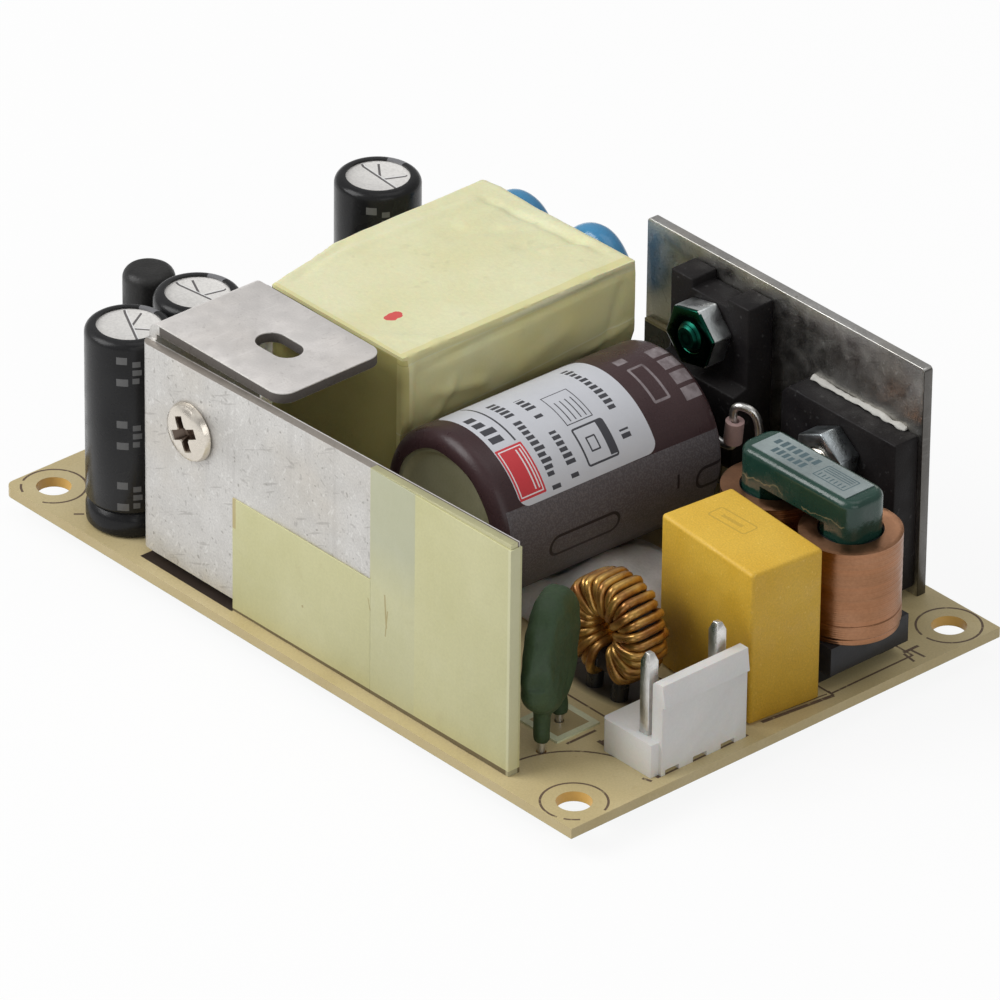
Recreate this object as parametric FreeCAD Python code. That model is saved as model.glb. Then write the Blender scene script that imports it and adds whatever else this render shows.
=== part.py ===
import FreeCAD, Part
import math
import os
from FreeCAD import Vector

# Open frame power supply on a 3 x 2 inch board. Millimetres, +Z up, origin on the underside of the
# board at the middle of its four mounting holes, +X towards the mains inlet.

# Board
board_length = 76.2
board_width = 50.8
board_thickness = 1.0
board_corner = 1.0
hole_pitch_x = 69.85
hole_pitch_y = 44.45
mount_hole = 3.2
lead_tail = 2.0
lead_clearance = 0.1
joint_height = 1.2
joint_spread = 0.6
joint_gap = 0.05

# Bent heat sink along the front edge
sink_sheet = 1.0
front_sink_edge = 1.6
front_sink_start = -21.0
front_sink_length = 49.2
front_sink_height = 23.2
front_sink_drop = 1.4
front_foot_start = -8.2
front_foot_lift = 1.0
bend_radius = 1.2
flange_top = 23.4
flange_length = 17.8
flange_inset = 1.2
flange_width = 11.95
flange_corner = 1.6
flange_slot_length = 5.0
flange_slot_width = 2.9
flange_slot_x = 10.8
flange_slot_y = 5.8
tab_width = 2.5
tab_clearance = 0.15

# Flat heat sink along the back edge
back_sink_edge = 1.0
back_sink_start = -6.4
back_sink_length = 36.0
back_sink_height = 23.2
back_sink_corner = 0.4

# Tapes on the bent heat sink
tape_thickness = 0.15
lower_tape_height = 11.5
end_tape_start = 10.2
end_tape_return = 3.0

# Fasteners
screw_diameter = 2.9
screw_head = 5.6
screw_head_height = 1.0
screw_hole = 3.2
cross_width = 0.7
cross_length = 3.0
cross_depth = 1.1
short_screw = 5.8
long_screw = 6.8
nut_width = 5.5
nut_height = 2.4
nut_bore = 3.0

# Output rectifier on the bent heat sink
rectifier_x = -13.9
rectifier_hole_z = 15.7
rectifier_pad = 0.3
tab_pack_width = 10.0
tab_pack_tab = 1.3
tab_pack_thickness = 4.4
tab_pack_body = 9.0
tab_pack_body_drop = 3.7
tab_pack_crown = 2.8
tab_hole = 3.7
lead_pitch = 2.54
lead_width = 0.8
lead_setback = 2.6

# Switching transistor on the flat heat sink
transistor_x = 5.1
transistor_hole_z = 17.85
transistor_width = 10.2
transistor_upper = 3.0
transistor_lower = 4.6
transistor_ledge_drop = 4.0
transistor_body_bottom = 5.7
transistor_crown = 4.0
crown_notch_width = 4.6
crown_notch_depth = 0.9

# Bridge rectifier on the flat heat sink
bridge_x = 21.75
bridge_hole_z = 12.2
bridge_width = 14.7
bridge_thickness = 2.8
bridge_bottom = 0.9
bridge_top = 16.3
bridge_chamfer = 0.9
bridge_pitch = 3.8
paste_height = 0.3
paste_length = 12.0

# Insulator sheet between the flat heat sink and the transformer side
insulator_start = 0.4
insulator_length = 6.0
insulator_height = 13.2
insulator_thickness = 0.5

# Transformer
transformer_x = -14.1
transformer_y = 5.7
tape_block_length = 19.9
tape_block_width = 27.4
tape_block_top = 21.5
tape_wrap = 0.4
tape_skirt = 3.0
tape_corner_cut_x = 2.3
tape_corner_cut_y = 9.5
core_length = 16.6
core_thickness = 8.0
core_back = 2.6
core_centre_z = 11.6
core_side_leg = 3.6
centre_leg = 6.4
bobbin_rail_height = 2.4
bobbin_rail_width = 5.0
bobbin_flange = 1.0
bobbin_tube_wall = 0.8
winding_slack = 1.5
winding_rise = 3.9
winding_gap = 0.2
transformer_pin = 0.7
transformer_pin_pitch = 5.0

# Bulk capacitor lying along Y
bulk_x = 4.65
bulk_end_gap = 3.2
bulk_z = 9.75
bulk_turn = -1.15
bulk_length = 26.0
bulk_diameter = 16.0
sleeve_wall = 0.3
bulk_rim = 1.2
bulk_lip = 1.7
bung_depth = 2.0
bulk_pitch = 7.5
bulk_lead = 0.8
bulk_lead_angle = 20.0
label_start = 2.8
label_length = 15.6
label_low_angle = 25.0
label_high_angle = 125.0
label_thickness = 0.08

# Output capacitors, standing
capacitor_diameter = 8.0
capacitor_height = 20.0
capacitor_wall = 0.2
capacitor_bead = 2.2
capacitor_bead_depth = 0.35
capacitor_rim = 0.75
capacitor_bung = 2.0
capacitor_pitch = 3.5
capacitor_lead = 0.6
capacitor_spots = [(-26.3, -20.5), (-26.7, -12.2), (-32.3, 14.0)]

# Rod choke, standing
rod_x = -33.9
rod_y = -11.8
rod_diameter = 4.8
rod_height = 19.2
rod_dome = 0.8
rod_pitch = 2.5

# Blue safety capacitors behind the transformer
disc_diameter = 8.0
disc_thickness = 3.0
disc_pitch = 5.0
disc_lead = 0.6
disc_gap = 0.4
disc_spots = [(-10.8, 17.1), (-21.0, 16.2)]

# Inrush thermistor
thermistor_x = 25.8
thermistor_y = -16.8
thermistor_z = 9.0
thermistor_diameter = 11.4
thermistor_thickness = 3.2
thermistor_turn = 120.0
thermistor_pitch = 5.0
thermistor_lead = 0.7
film_size = 5.0
film_thickness = 0.2

# Toroidal choke, standing with its axis along Y
toroid_x = 23.4
toroid_y = -7.1
toroid_z = 6.3
toroid_core_outer = 8.6
toroid_core_inner = 5.2
toroid_core_width = 2.2
toroid_wire = 0.7
toroid_turns = 26
toroid_layer_gap = 0.08
toroid_lead_angle = 20.0
toroid_sleeve_wall = 0.25

# Mains inlet header at the +X edge and output header at the -X edge
header_pitch = 7.92
output_pitch = 3.96
header_pin = 1.14
pin_tip = 0.8
header_base_height = 3.3
header_base_width = 6.3
header_wall_height = 9.1
header_wall = 1.3
header_lip = 0.3
header_lip_height = 2.2
header_pin_height = 11.3
header_pin_setback = 2.35
header_margin = 1.45
header_wall_inset = 0.9
header_foot = 0.5
inlet_edge_gap = 1.2
inlet_y = -9.4
outlet_edge_gap = 0.9
outlet_y = 1.0
outlet_pin_count = 4

# Yellow box capacitor
box_capacitor_x = 29.7
box_capacitor_y = 1.8
box_capacitor_turn = -5.0
box_capacitor_length = 13.0
box_capacitor_width = 7.8
box_capacitor_height = 15.3
box_capacitor_edge = 0.4
box_capacitor_foot = 0.3
box_capacitor_pitch = 10.0
box_capacitor_lead = 0.7

# Common mode choke
choke_x = 28.4
choke_y = 11.3
choke_pitch = 10.0
choke_leg = 4.8
choke_leg_edge = 1.6
choke_yoke_height = 3.0
choke_core_top = 17.6
choke_core_bottom = 1.2
choke_core_edge = 0.7
choke_winding_outer = 9.4
choke_winding_bottom = 4.3
choke_winding_top = 13.6
choke_tube = 7.0
choke_tube_gap = 0.1
choke_tube_drop = 0.2
choke_base_reach = 2.8
choke_base_width = 9.3
choke_base_lift = 1.5
choke_foot_inset = 0.9
choke_foot_width = 2.2
choke_pin = 0.8
sticker_margin = 0.7
sticker_thickness = 0.08

# Fuse and optocoupler behind the bent heat sink
fuse_x = 12.0
fuse_gap = 1.2
fuse_length = 8.5
fuse_width = 4.0
fuse_height = 7.7
fuse_pitch = 5.08
fuse_lead = 0.6
coupler_x = -12.0
coupler_y = -12.8
coupler_length = 6.4
coupler_width = 4.6
coupler_height = 3.4
coupler_lift = 0.6
coupler_span = 7.62
coupler_lead = 0.5

# Parts soldered to the underside
controller_x = 6.0
controller_y = 9.0
controller_length = 4.9
controller_width = 3.9
controller_height = 1.4
controller_lead_span = 6.0
controller_pitch = 1.27
controller_lead = 0.4
chip_length = 2.0
chip_width = 1.25
chip_height = 0.5
chip_spots = [(-2.0, 12.0), (-2.0, 9.0), (-2.0, 6.0), (13.0, 12.0), (13.0, 9.0), (13.0, 6.0), (-29.0, 4.0)]

# White sealant under the bulk capacitor
sealant_x = 10.4
sealant_y = 2.6
sealant_width = 14.4
sealant_length = 17.0
sealant_height = 3.4
sealant_gap = 0.05

# Levels and faces that the parts share
top = board_thickness
tail = -lead_tail
front_outer = -board_width / 2 + front_sink_edge
front_inner = front_outer + sink_sheet
front_end = front_sink_start + front_sink_length
back_outer = board_width / 2 - back_sink_edge
back_inner = back_outer - sink_sheet
back_end = back_sink_start + back_sink_length
disc_y = transformer_y + tape_block_width / 2 + disc_gap + disc_thickness / 2
bulk_y = back_inner - transistor_lower - bulk_end_gap - bulk_length / 2
fuse_y = front_inner + fuse_gap + fuse_width / 2


def box(x0, x1, y0, y1, z0, z1):
    return Part.makeBox(x1 - x0, y1 - y0, z1 - z0, Vector(x0, y0, z0))


def cylinder(x, y, z, diameter, height, axis=Vector(0, 0, 1)):
    return Part.makeCylinder(diameter / 2, height, Vector(x, y, z), axis)


def prism(points, travel):
    outline = Part.makePolygon([Vector(*p) for p in points + points[:1]])
    return Part.Face(outline).extrude(Vector(*travel))


def revolve(points, axis=Vector(0, 0, 1), centre=Vector(0, 0, 0)):
    outline = Part.makePolygon([Vector(*p) for p in points + points[:1]])
    return Part.Face(outline).revolve(centre, axis, 360)


def fuse(shapes):
    body = shapes[0]
    for other in shapes[1:]:
        body = body.fuse(other)
    return body.removeSplitter()


def edges_at(shape, test):
    return [e for e in shape.Edges if test(e)]


def turned(shape, x, y, angle):
    moved = shape.copy()
    moved.rotate(Vector(0, 0, 0), Vector(0, 0, 1), angle)
    moved.translate(Vector(x, y, 0))
    return moved


def turned_spot(x, y, dx, dy, angle):
    a = math.radians(angle)
    return (x + dx * math.cos(a) - dy * math.sin(a), y + dx * math.sin(a) + dy * math.cos(a))


def wire(points, diameter):
    """Round wire along straight runs with ball joints at its bends."""
    runs = []
    for start, end in zip(points[:-1], points[1:]):
        a = Vector(*start)
        b = Vector(*end)
        runs.append(Part.makeCylinder(diameter / 2, (b - a).Length, a, b - a))
    for bend in points[1:-1]:
        runs.append(Part.makeSphere(diameter / 2, Vector(*bend)))
    return fuse(runs)


# Places where leads pass through the board

def pair(x, y, pitch, angle=0.0):
    return [turned_spot(x, y, side * pitch / 2, 0, angle) for side in (-1, 1)]


def row(x, y, pitch, count, along_y=False):
    spots = []
    for i in range(count):
        shift = (i - (count - 1) / 2) * pitch
        spots.append((x, y + shift) if along_y else (x + shift, y))
    return spots


def header_line(side, edge_gap):
    edge = side * (board_length / 2 - edge_gap)
    return edge - side * header_pin_setback


def transformer_pins():
    reach = (tape_block_length - bobbin_rail_width) / 2
    spots = []
    for side in (-1, 1):
        spots += row(transformer_x + side * reach, transformer_y, transformer_pin_pitch, 5, True)
    return spots


def bulk_axis():
    a = math.radians(bulk_turn)
    return Vector(-math.sin(a), math.cos(a), 0)


def bulk_point(along, radius, angle):
    a = math.radians(angle)
    across = Vector(0, 0, 1).cross(bulk_axis()) * -1
    middle = Vector(bulk_x, bulk_y, top + bulk_z)
    return middle + bulk_axis() * along + across * (radius * math.cos(a)) + Vector(0, 0, radius * math.sin(a))


def bulk_feet():
    face = bulk_length / 2
    near = bulk_point(face + 3.1, bulk_pitch / 2 + 5.2, 0)
    far = bulk_point(face + 1.6, -bulk_pitch / 2, 0)
    return [(near.x, near.y), (far.x, far.y)]


def thermistor_feet():
    return pair(thermistor_x, thermistor_y, thermistor_pitch, thermistor_turn)


def choke_feet():
    return [(choke_x + sx * choke_pitch / 2, choke_y + sy * (choke_base_width / 2 - choke_foot_inset))
            for sx in (-1, 1) for sy in (-1, 1)]


def coupler_feet():
    return [(coupler_x + sx * coupler_span / 2, coupler_y + sy * lead_pitch / 2)
            for sx in (-1, 1) for sy in (-1, 1)]


def rectifier_feet():
    return row(rectifier_x, front_inner + rectifier_pad + lead_setback, lead_pitch, 3)


def transistor_feet():
    return row(transistor_x, back_inner - lead_setback, lead_pitch, 3)


def bridge_feet():
    return row(bridge_x, back_inner - bridge_thickness / 2, bridge_pitch, 4)


def toroid_feet():
    radius, height = toroid_turn_points()[0][0]
    half = radius * math.sin(math.radians(toroid_lead_angle))
    return pair(toroid_x, toroid_y + height, 2 * half)


def box_capacitor_feet():
    return pair(box_capacitor_x, box_capacitor_y, box_capacitor_pitch, box_capacitor_turn)


def inlet_feet():
    return row(header_line(1, inlet_edge_gap), inlet_y, header_pitch, 2, True)


def outlet_feet():
    return row(header_line(-1, outlet_edge_gap), outlet_y, output_pitch, outlet_pin_count, True)


def round_leads():
    """Each round lead's spot with its diameter."""
    groups = [(bulk_feet(), bulk_lead), (thermistor_feet(), thermistor_lead), (toroid_feet(), toroid_wire)]
    groups += [(pair(x, y, capacitor_pitch), capacitor_lead) for x, y in capacitor_spots]
    groups += [(pair(x, disc_y, disc_pitch), disc_lead) for x, z in disc_spots]
    groups += [(pair(rod_x, rod_y, rod_pitch, 90), capacitor_lead)]
    groups += [(box_capacitor_feet(), box_capacitor_lead)]
    groups += [(pair(fuse_x, fuse_y, fuse_pitch), fuse_lead)]
    return [(x, y, size) for spots, size in groups for x, y in spots]


def square_leads():
    """Each square lead's spot with its width."""
    groups = [(transformer_pins(), transformer_pin), (choke_feet(), choke_pin), (coupler_feet(), coupler_lead)]
    groups += [(rectifier_feet(), lead_width), (transistor_feet(), lead_width), (bridge_feet(), lead_width)]
    groups += [(inlet_feet(), header_pin), (outlet_feet(), header_pin)]
    return [(x, y, size) for spots, size in groups for x, y in spots]


def square_rod(x, y, width, z0, z1):
    return box(x - width / 2, x + width / 2, y - width / 2, y + width / 2, z0, z1)


# Heat sink tabs that are soldered into the board

def front_tabs():
    middle = (front_outer + front_inner) / 2
    wall = front_sink_start + sink_sheet / 2
    return [(front_foot_start + 6.0, middle, tab_width, sink_sheet),
            (front_end - 6.0, middle, tab_width, sink_sheet),
            (wall, front_outer + flange_inset + flange_width * 0.75, sink_sheet, tab_width)]


def back_tabs():
    middle = (back_outer + back_inner) / 2
    return [(back_sink_start + 3.2, middle, tab_width, sink_sheet),
            (back_end - 3.2, middle, tab_width, sink_sheet)]


def tab_block(spot, z0, z1, grow=0.0):
    x, y, width_x, width_y = spot
    return box(x - width_x / 2 - grow, x + width_x / 2 + grow,
               y - width_y / 2 - grow, y + width_y / 2 + grow, z0, z1)


def circuit_board():
    board = box(-board_length / 2, board_length / 2, -board_width / 2, board_width / 2, 0, top)

    def left_front(e):
        c = e.CenterOfMass
        return abs(c.x + board_length / 2) < 0.01 and abs(c.y + board_width / 2) < 0.01
    board = board.makeFillet(board_corner, edges_at(board, left_front))
    cuts = []
    for sx in (-1, 1):
        for sy in (-1, 1):
            cuts.append(cylinder(sx * hole_pitch_x / 2, sy * hole_pitch_y / 2, -1, mount_hole, top + 2))
    for x, y, size in round_leads():
        cuts.append(cylinder(x, y, -1, size + 2 * lead_clearance, top + 2))
    for x, y, size in square_leads():
        cuts.append(square_rod(x, y, size + 2 * lead_clearance, -1, top + 1))
    for spot in front_tabs() + back_tabs():
        cuts.append(tab_block(spot, -1, top + 1, tab_clearance))
    return board.cut(cuts)


def solder_joints():
    joints = []
    for x, y, size in round_leads():
        cone = Part.makeCone(size / 2 + joint_spread, size / 2 + 2 * joint_gap, joint_height,
                             Vector(x, y, 0), Vector(0, 0, -1))
        joints.append(cone.cut(cylinder(x, y, -joint_height - 1, size + 2 * joint_gap, joint_height + 2)))
    for x, y, size in square_leads():
        wide = size / 2 + joint_spread
        narrow = size / 2 + 2 * joint_gap
        loops = []
        for half, z in ((wide, 0), (narrow, -joint_height)):
            corners = [(-half, -half), (half, -half), (half, half), (-half, half), (-half, -half)]
            loops.append(Part.makePolygon([Vector(x + a, y + b, z) for a, b in corners]))
        block = Part.makeLoft(loops, True, True)
        joints.append(block.cut(square_rod(x, y, size + 2 * joint_gap, -joint_height - 1, 1)))
    return Part.makeCompound(joints)


def bent_heat_sink():
    t = sink_sheet
    r = bend_radius
    x0 = front_sink_start
    x1 = front_end
    y0 = front_outer
    wall_end = y0 + flange_inset + flange_width
    full = top + front_sink_height
    outer_mid = Vector(x0 + r * (1 - math.sqrt(0.5)), y0 + r * (1 - math.sqrt(0.5)), top)
    inner_r = r - t
    inner_c = Vector(x0 + r, y0 + r, top)
    inner_mid = inner_c - Vector(inner_r, inner_r, 0) * math.sqrt(0.5)
    outline = [
        Part.LineSegment(Vector(x1, y0, top), Vector(x0 + r, y0, top)),
        Part.Arc(Vector(x0 + r, y0, top), outer_mid, Vector(x0, y0 + r, top)),
        Part.LineSegment(Vector(x0, y0 + r, top), Vector(x0, wall_end, top)),
        Part.LineSegment(Vector(x0, wall_end, top), Vector(x0 + t, wall_end, top)),
        Part.LineSegment(Vector(x0 + t, wall_end, top), Vector(x0 + t, y0 + r, top)),
        Part.Arc(Vector(x0 + t, y0 + r, top), inner_mid, Vector(x0 + r, y0 + t, top)),
        Part.LineSegment(Vector(x0 + r, y0 + t, top), Vector(x1, y0 + t, top)),
        Part.LineSegment(Vector(x1, y0 + t, top), Vector(x1, y0, top))]
    walls = Part.Face(Part.Wire([s.toShape() for s in outline])).extrude(Vector(0, 0, front_sink_height))
    flange_z = top + flange_top
    flange_y = y0 + flange_inset
    slope = prism([(x0 - 1, y0 - 1, full - front_sink_drop), (x1 + 1, y0 - 1, full),
                   (x1 + 1, y0 - 1, full + 5), (x0 - 1, y0 - 1, full + 5)], (0, flange_y - y0 + 1, 0))
    walls = walls.cut(slope)
    walls = walls.cut(box(x0 - 1, x0 + r, flange_y, wall_end + 1, flange_z - r, full + 5))
    walls = walls.cut(box(x0 - 1, front_foot_start, y0 - 1, wall_end + 1, top - 1, top + front_foot_lift))
    walls = walls.fuse(flange(flange_y, wall_end, flange_z))
    tabs = [tab_block(spot, tail, top + 1.2 * front_foot_lift) for spot in front_tabs()]
    hole = cylinder(rectifier_x, y0 - 1, top + rectifier_hole_z, screw_hole, t + 2, Vector(0, 1, 0))
    return fuse([walls] + tabs).cut(hole)


def flange(y0, y1, z1):
    t = sink_sheet
    r = bend_radius
    x0 = front_sink_start
    x1 = x0 + flange_length
    centre = Vector(x0 + r, y0, z1 - r)
    outer_mid = centre + Vector(-r, 0, r) * math.sqrt(0.5)
    inner_mid = centre + Vector(-(r - t), 0, r - t) * math.sqrt(0.5)
    outline = [
        Part.Arc(Vector(x0, y0, z1 - r), outer_mid, Vector(x0 + r, y0, z1)),
        Part.LineSegment(Vector(x0 + r, y0, z1), Vector(x1, y0, z1)),
        Part.LineSegment(Vector(x1, y0, z1), Vector(x1, y0, z1 - t)),
        Part.LineSegment(Vector(x1, y0, z1 - t), Vector(x0 + r, y0, z1 - t)),
        Part.Arc(Vector(x0 + r, y0, z1 - t), inner_mid, Vector(x0 + t, y0, z1 - r)),
        Part.LineSegment(Vector(x0 + t, y0, z1 - r), Vector(x0, y0, z1 - r))]
    sheet = Part.Face(Part.Wire([s.toShape() for s in outline])).extrude(Vector(0, y1 - y0, 0))

    def free_corner(e):
        return abs(e.CenterOfMass.x - x1) < 0.01 and abs(e.BoundBox.ZLength - t) < 0.01
    sheet = sheet.makeFillet(flange_corner, edges_at(sheet, free_corner))
    return sheet.cut(slot(x0 + flange_slot_x, y0 + flange_slot_y, z1 - t - 1, t + 2))


def slot(x, y, z, height):
    half = (flange_slot_length - flange_slot_width) / 2
    ends = [cylinder(x + side * half, y, z, flange_slot_width, height) for side in (-1, 1)]
    middle = box(x - half, x + half, y - flange_slot_width / 2, y + flange_slot_width / 2, z, z + height)
    return fuse(ends + [middle])


def flat_heat_sink():
    full = top + back_sink_height
    plate = box(back_sink_start, back_end, back_inner, back_outer, top, full)

    def top_corner(e):
        return abs(e.CenterOfMass.z - full) < 0.01 and abs(e.BoundBox.YLength - sink_sheet) < 0.01
    plate = plate.makeFillet(back_sink_corner, edges_at(plate, top_corner))
    plate = fuse([plate] + [tab_block(spot, tail, top + 1) for spot in back_tabs()])
    for x, z in ((transistor_x, transistor_hole_z), (bridge_x, bridge_hole_z)):
        plate = plate.cut(cylinder(x, back_inner - 1, top + z, screw_hole, sink_sheet + 2, Vector(0, 1, 0)))
    return plate


def lower_tape():
    y1 = front_outer
    return box(front_foot_start, end_tape_start, y1 - tape_thickness, y1, top, top + lower_tape_height)


def end_tape():
    high = top + front_sink_height - front_sink_drop * (front_end - end_tape_start) / front_sink_length
    outer = box(end_tape_start, front_end + tape_thickness, front_outer - tape_thickness,
                front_inner + tape_thickness, top, high)
    plate = box(end_tape_start - 1, front_end, front_outer, front_inner, top - 1, high + 1)
    behind = box(end_tape_start - 1, front_end - end_tape_return, front_inner, front_inner + 1, top - 1, high + 1)
    return outer.cut(plate).cut(behind)


def screw(length):
    """A pan head screw standing on its tip side, head upwards from z = 0."""
    head = Part.makeCylinder(screw_head / 2, screw_head_height)
    rim = head.Edges
    head = head.makeChamfer(0.25, [e for e in rim if abs(e.CenterOfMass.z - screw_head_height) < 0.01])
    body = fuse([head, Part.makeCylinder(screw_diameter / 2, length, Vector(0, 0, -length))])
    for angle in (0, 90):
        arm = box(-cross_length / 2, cross_length / 2, -cross_width / 2, cross_width / 2,
                  screw_head_height - cross_depth, screw_head_height + 1)
        arm.rotate(Vector(0, 0, 0), Vector(0, 0, 1), angle)
        body = body.cut(arm)
    return body


def placed_screw(length, x, y, z, towards_front):
    body = screw(length)
    body.rotate(Vector(0, 0, 0), Vector(0, 0, 1), 20)
    body.rotate(Vector(0, 0, 0), Vector(1, 0, 0), 90 if towards_front else -90)
    body.translate(Vector(x, y, z))
    return body


def nut(x, y, z, turn):
    """Hexagon nut whose axis lies along Y, from y to y + nut_height."""
    radius = nut_width / math.sqrt(3)
    corners = []
    for i in range(6):
        a = math.radians(turn + 60 * i)
        corners.append((x + radius * math.cos(a), y, z + radius * math.sin(a)))
    body = prism(corners, (0, nut_height, 0))
    ball = Part.makeSphere(radius * 1.12, Vector(x, y + nut_height / 2, z))
    body = body.common(ball)
    return body.cut(cylinder(x, y - 1, z, nut_bore, nut_height + 2, Vector(0, 1, 0)))


def short_screws():
    return placed_screw(short_screw, rectifier_x, front_outer, top + rectifier_hole_z, True)


def long_screws():
    spots = ((transistor_x, transistor_hole_z), (bridge_x, bridge_hole_z))
    return Part.makeCompound([placed_screw(long_screw, x, back_outer, top + z, False) for x, z in spots])


def nuts():
    rectifier_face = front_inner + rectifier_pad + tab_pack_tab
    transistor_face = back_inner - transistor_upper
    bridge_face = back_inner - bridge_thickness
    return Part.makeCompound([
        nut(rectifier_x, rectifier_face, top + rectifier_hole_z, 30),
        nut(transistor_x, transistor_face - nut_height, top + transistor_hole_z, 12),
        nut(bridge_x, bridge_face - nut_height, top + bridge_hole_z, 24)])


def rectifier_pad_sheet():
    z1 = top + rectifier_hole_z + tab_pack_crown + 0.6
    z0 = top + rectifier_hole_z - tab_pack_body_drop - tab_pack_body - 0.6
    half = tab_pack_width / 2 + 0.8
    sheet = box(rectifier_x - half, rectifier_x + half, front_inner, front_inner + rectifier_pad, z0, z1)
    return sheet.cut(cylinder(rectifier_x, front_inner - 1, top + rectifier_hole_z, screw_hole, 3, Vector(0, 1, 0)))


def rectifier_frame():
    """Metal tab with the three leads that come off it."""
    y0 = front_inner + rectifier_pad
    z1 = top + rectifier_hole_z + tab_pack_crown
    z0 = top + rectifier_hole_z - tab_pack_body_drop
    half = tab_pack_width / 2
    tab = box(rectifier_x - half, rectifier_x + half, y0, y0 + tab_pack_tab, z0, z1)
    tab = tab.cut(cylinder(rectifier_x, y0 - 1, top + rectifier_hole_z, tab_hole, 4, Vector(0, 1, 0)))
    bottom = z0 - tab_pack_body
    leads = [square_rod(x, y, lead_width, tail, bottom) for x, y in rectifier_feet()]
    return Part.makeCompound([tab] + leads)


def rectifier_body():
    y0 = front_inner + rectifier_pad
    z1 = top + rectifier_hole_z - tab_pack_body_drop
    z0 = z1 - tab_pack_body
    half = tab_pack_width / 2
    body = box(rectifier_x - half, rectifier_x + half, y0, y0 + tab_pack_thickness, z0, z1)

    def front_edge(e):
        return abs(e.CenterOfMass.y - y0 - tab_pack_thickness) < 0.01
    return body.makeChamfer(0.5, edges_at(body, front_edge))


def transistor_body():
    half = transistor_width / 2
    hole_z = top + transistor_hole_z
    ledge = hole_z - transistor_ledge_drop
    crown = hole_z + transistor_crown
    bottom = top + transistor_body_bottom
    front = back_inner - transistor_lower
    step = back_inner - transistor_upper
    x0 = transistor_x - half
    body = prism([(x0, back_inner, bottom), (x0, back_inner, crown), (x0, step, crown), (x0, step, ledge),
                  (x0, front, ledge - 0.4), (x0, front, bottom + 0.4), (x0, front + 0.4, bottom)],
                 (transistor_width, 0, 0))
    notch = box(transistor_x - crown_notch_width / 2, transistor_x + crown_notch_width / 2,
                step - 1, back_inner + 1, crown - crown_notch_depth, crown + 1)
    hole = cylinder(transistor_x, front - 1, hole_z, screw_hole, transistor_lower + 2, Vector(0, 1, 0))
    return body.cut(notch).cut(hole)


def transistor_leads():
    bottom = top + transistor_body_bottom
    return Part.makeCompound([square_rod(x, y, lead_width, tail, bottom) for x, y in transistor_feet()])


def bridge_body():
    half = bridge_width / 2
    y0 = back_inner - bridge_thickness
    c = bridge_chamfer
    body = prism([(bridge_x - half, y0, top + bridge_bottom), (bridge_x + half, y0, top + bridge_bottom),
                  (bridge_x + half, y0, top + bridge_top), (bridge_x - half + c, y0, top + bridge_top),
                  (bridge_x - half, y0, top + bridge_top - c)], (0, bridge_thickness, 0))
    return body.cut(cylinder(bridge_x, y0 - 1, top + bridge_hole_z, screw_hole, bridge_thickness + 2,
                             Vector(0, 1, 0)))


def bridge_leads():
    bottom = top + bridge_bottom
    return Part.makeCompound([square_rod(x, y, lead_width, tail, bottom) for x, y in bridge_feet()])


def heat_paste():
    z0 = top + bridge_top
    return prism([(bridge_x - paste_length / 2, back_inner, z0),
                  (bridge_x - paste_length / 2, back_inner - 2 * paste_height, z0),
                  (bridge_x - paste_length / 2, back_inner - paste_height, z0 + paste_height),
                  (bridge_x - paste_length / 2, back_inner, z0 + 1.4 * paste_height)], (paste_length, 0, 0))


def insulator_sheet():
    x0 = back_sink_start + insulator_start
    return box(x0, x0 + insulator_length, back_inner - insulator_thickness, back_inner,
               top, top + insulator_height)


def tape_outline(inset, z):
    x0 = transformer_x - tape_block_length / 2 + inset
    x1 = transformer_x + tape_block_length / 2 - inset
    y0 = transformer_y - tape_block_width / 2 + inset
    y1 = transformer_y + tape_block_width / 2 - inset
    return [(x0 + tape_corner_cut_x, y0, z), (x1, y0, z), (x1, y1, z), (x0, y1, z),
            (x0, y0 + tape_corner_cut_y, z)]


def transformer_tape():
    z0 = top + tape_skirt
    z1 = top + tape_block_top
    outer = prism(tape_outline(0, z0), (0, 0, z1 - z0))

    def soft_edge(e):
        return e.CenterOfMass.z > z0 + 0.5
    outer = outer.makeFillet(0.8, edges_at(outer, soft_edge))
    return outer.cut(prism(tape_outline(tape_wrap, z0 - 1), (0, 0, z1 - z0 + 1 - tape_wrap)))


def window():
    """Half length of the core's window and half width of the core."""
    return core_length / 2 - core_back, tape_block_width / 2 - tape_wrap


def core_x():
    return transformer_x + tape_block_length / 2 - tape_wrap - core_length / 2


def transformer_cores():
    half_window, half_width = window()
    halves = []
    z0 = top + core_centre_z - core_thickness / 2
    z1 = z0 + core_thickness
    for side in (-1, 1):
        outer = core_x() + side * core_length / 2
        inner = core_x() + side * half_window
        back = box(min(outer, inner), max(outer, inner), transformer_y - half_width,
                   transformer_y + half_width, z0, z1)
        legs = []
        for y0, y1 in ((-half_width, -half_width + core_side_leg), (-centre_leg / 2, centre_leg / 2),
                       (half_width - core_side_leg, half_width)):
            legs.append(box(min(core_x(), inner), max(core_x(), inner), transformer_y + y0,
                            transformer_y + y1, z0, z1))
        halves.append(fuse([back] + legs))
    return Part.makeCompound(halves)


def tube_half():
    """Half sizes of the bobbin's tube outside, in Y and Z."""
    gap = winding_gap / 2 + bobbin_tube_wall
    return centre_leg / 2 + gap, core_thickness / 2 + gap


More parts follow.
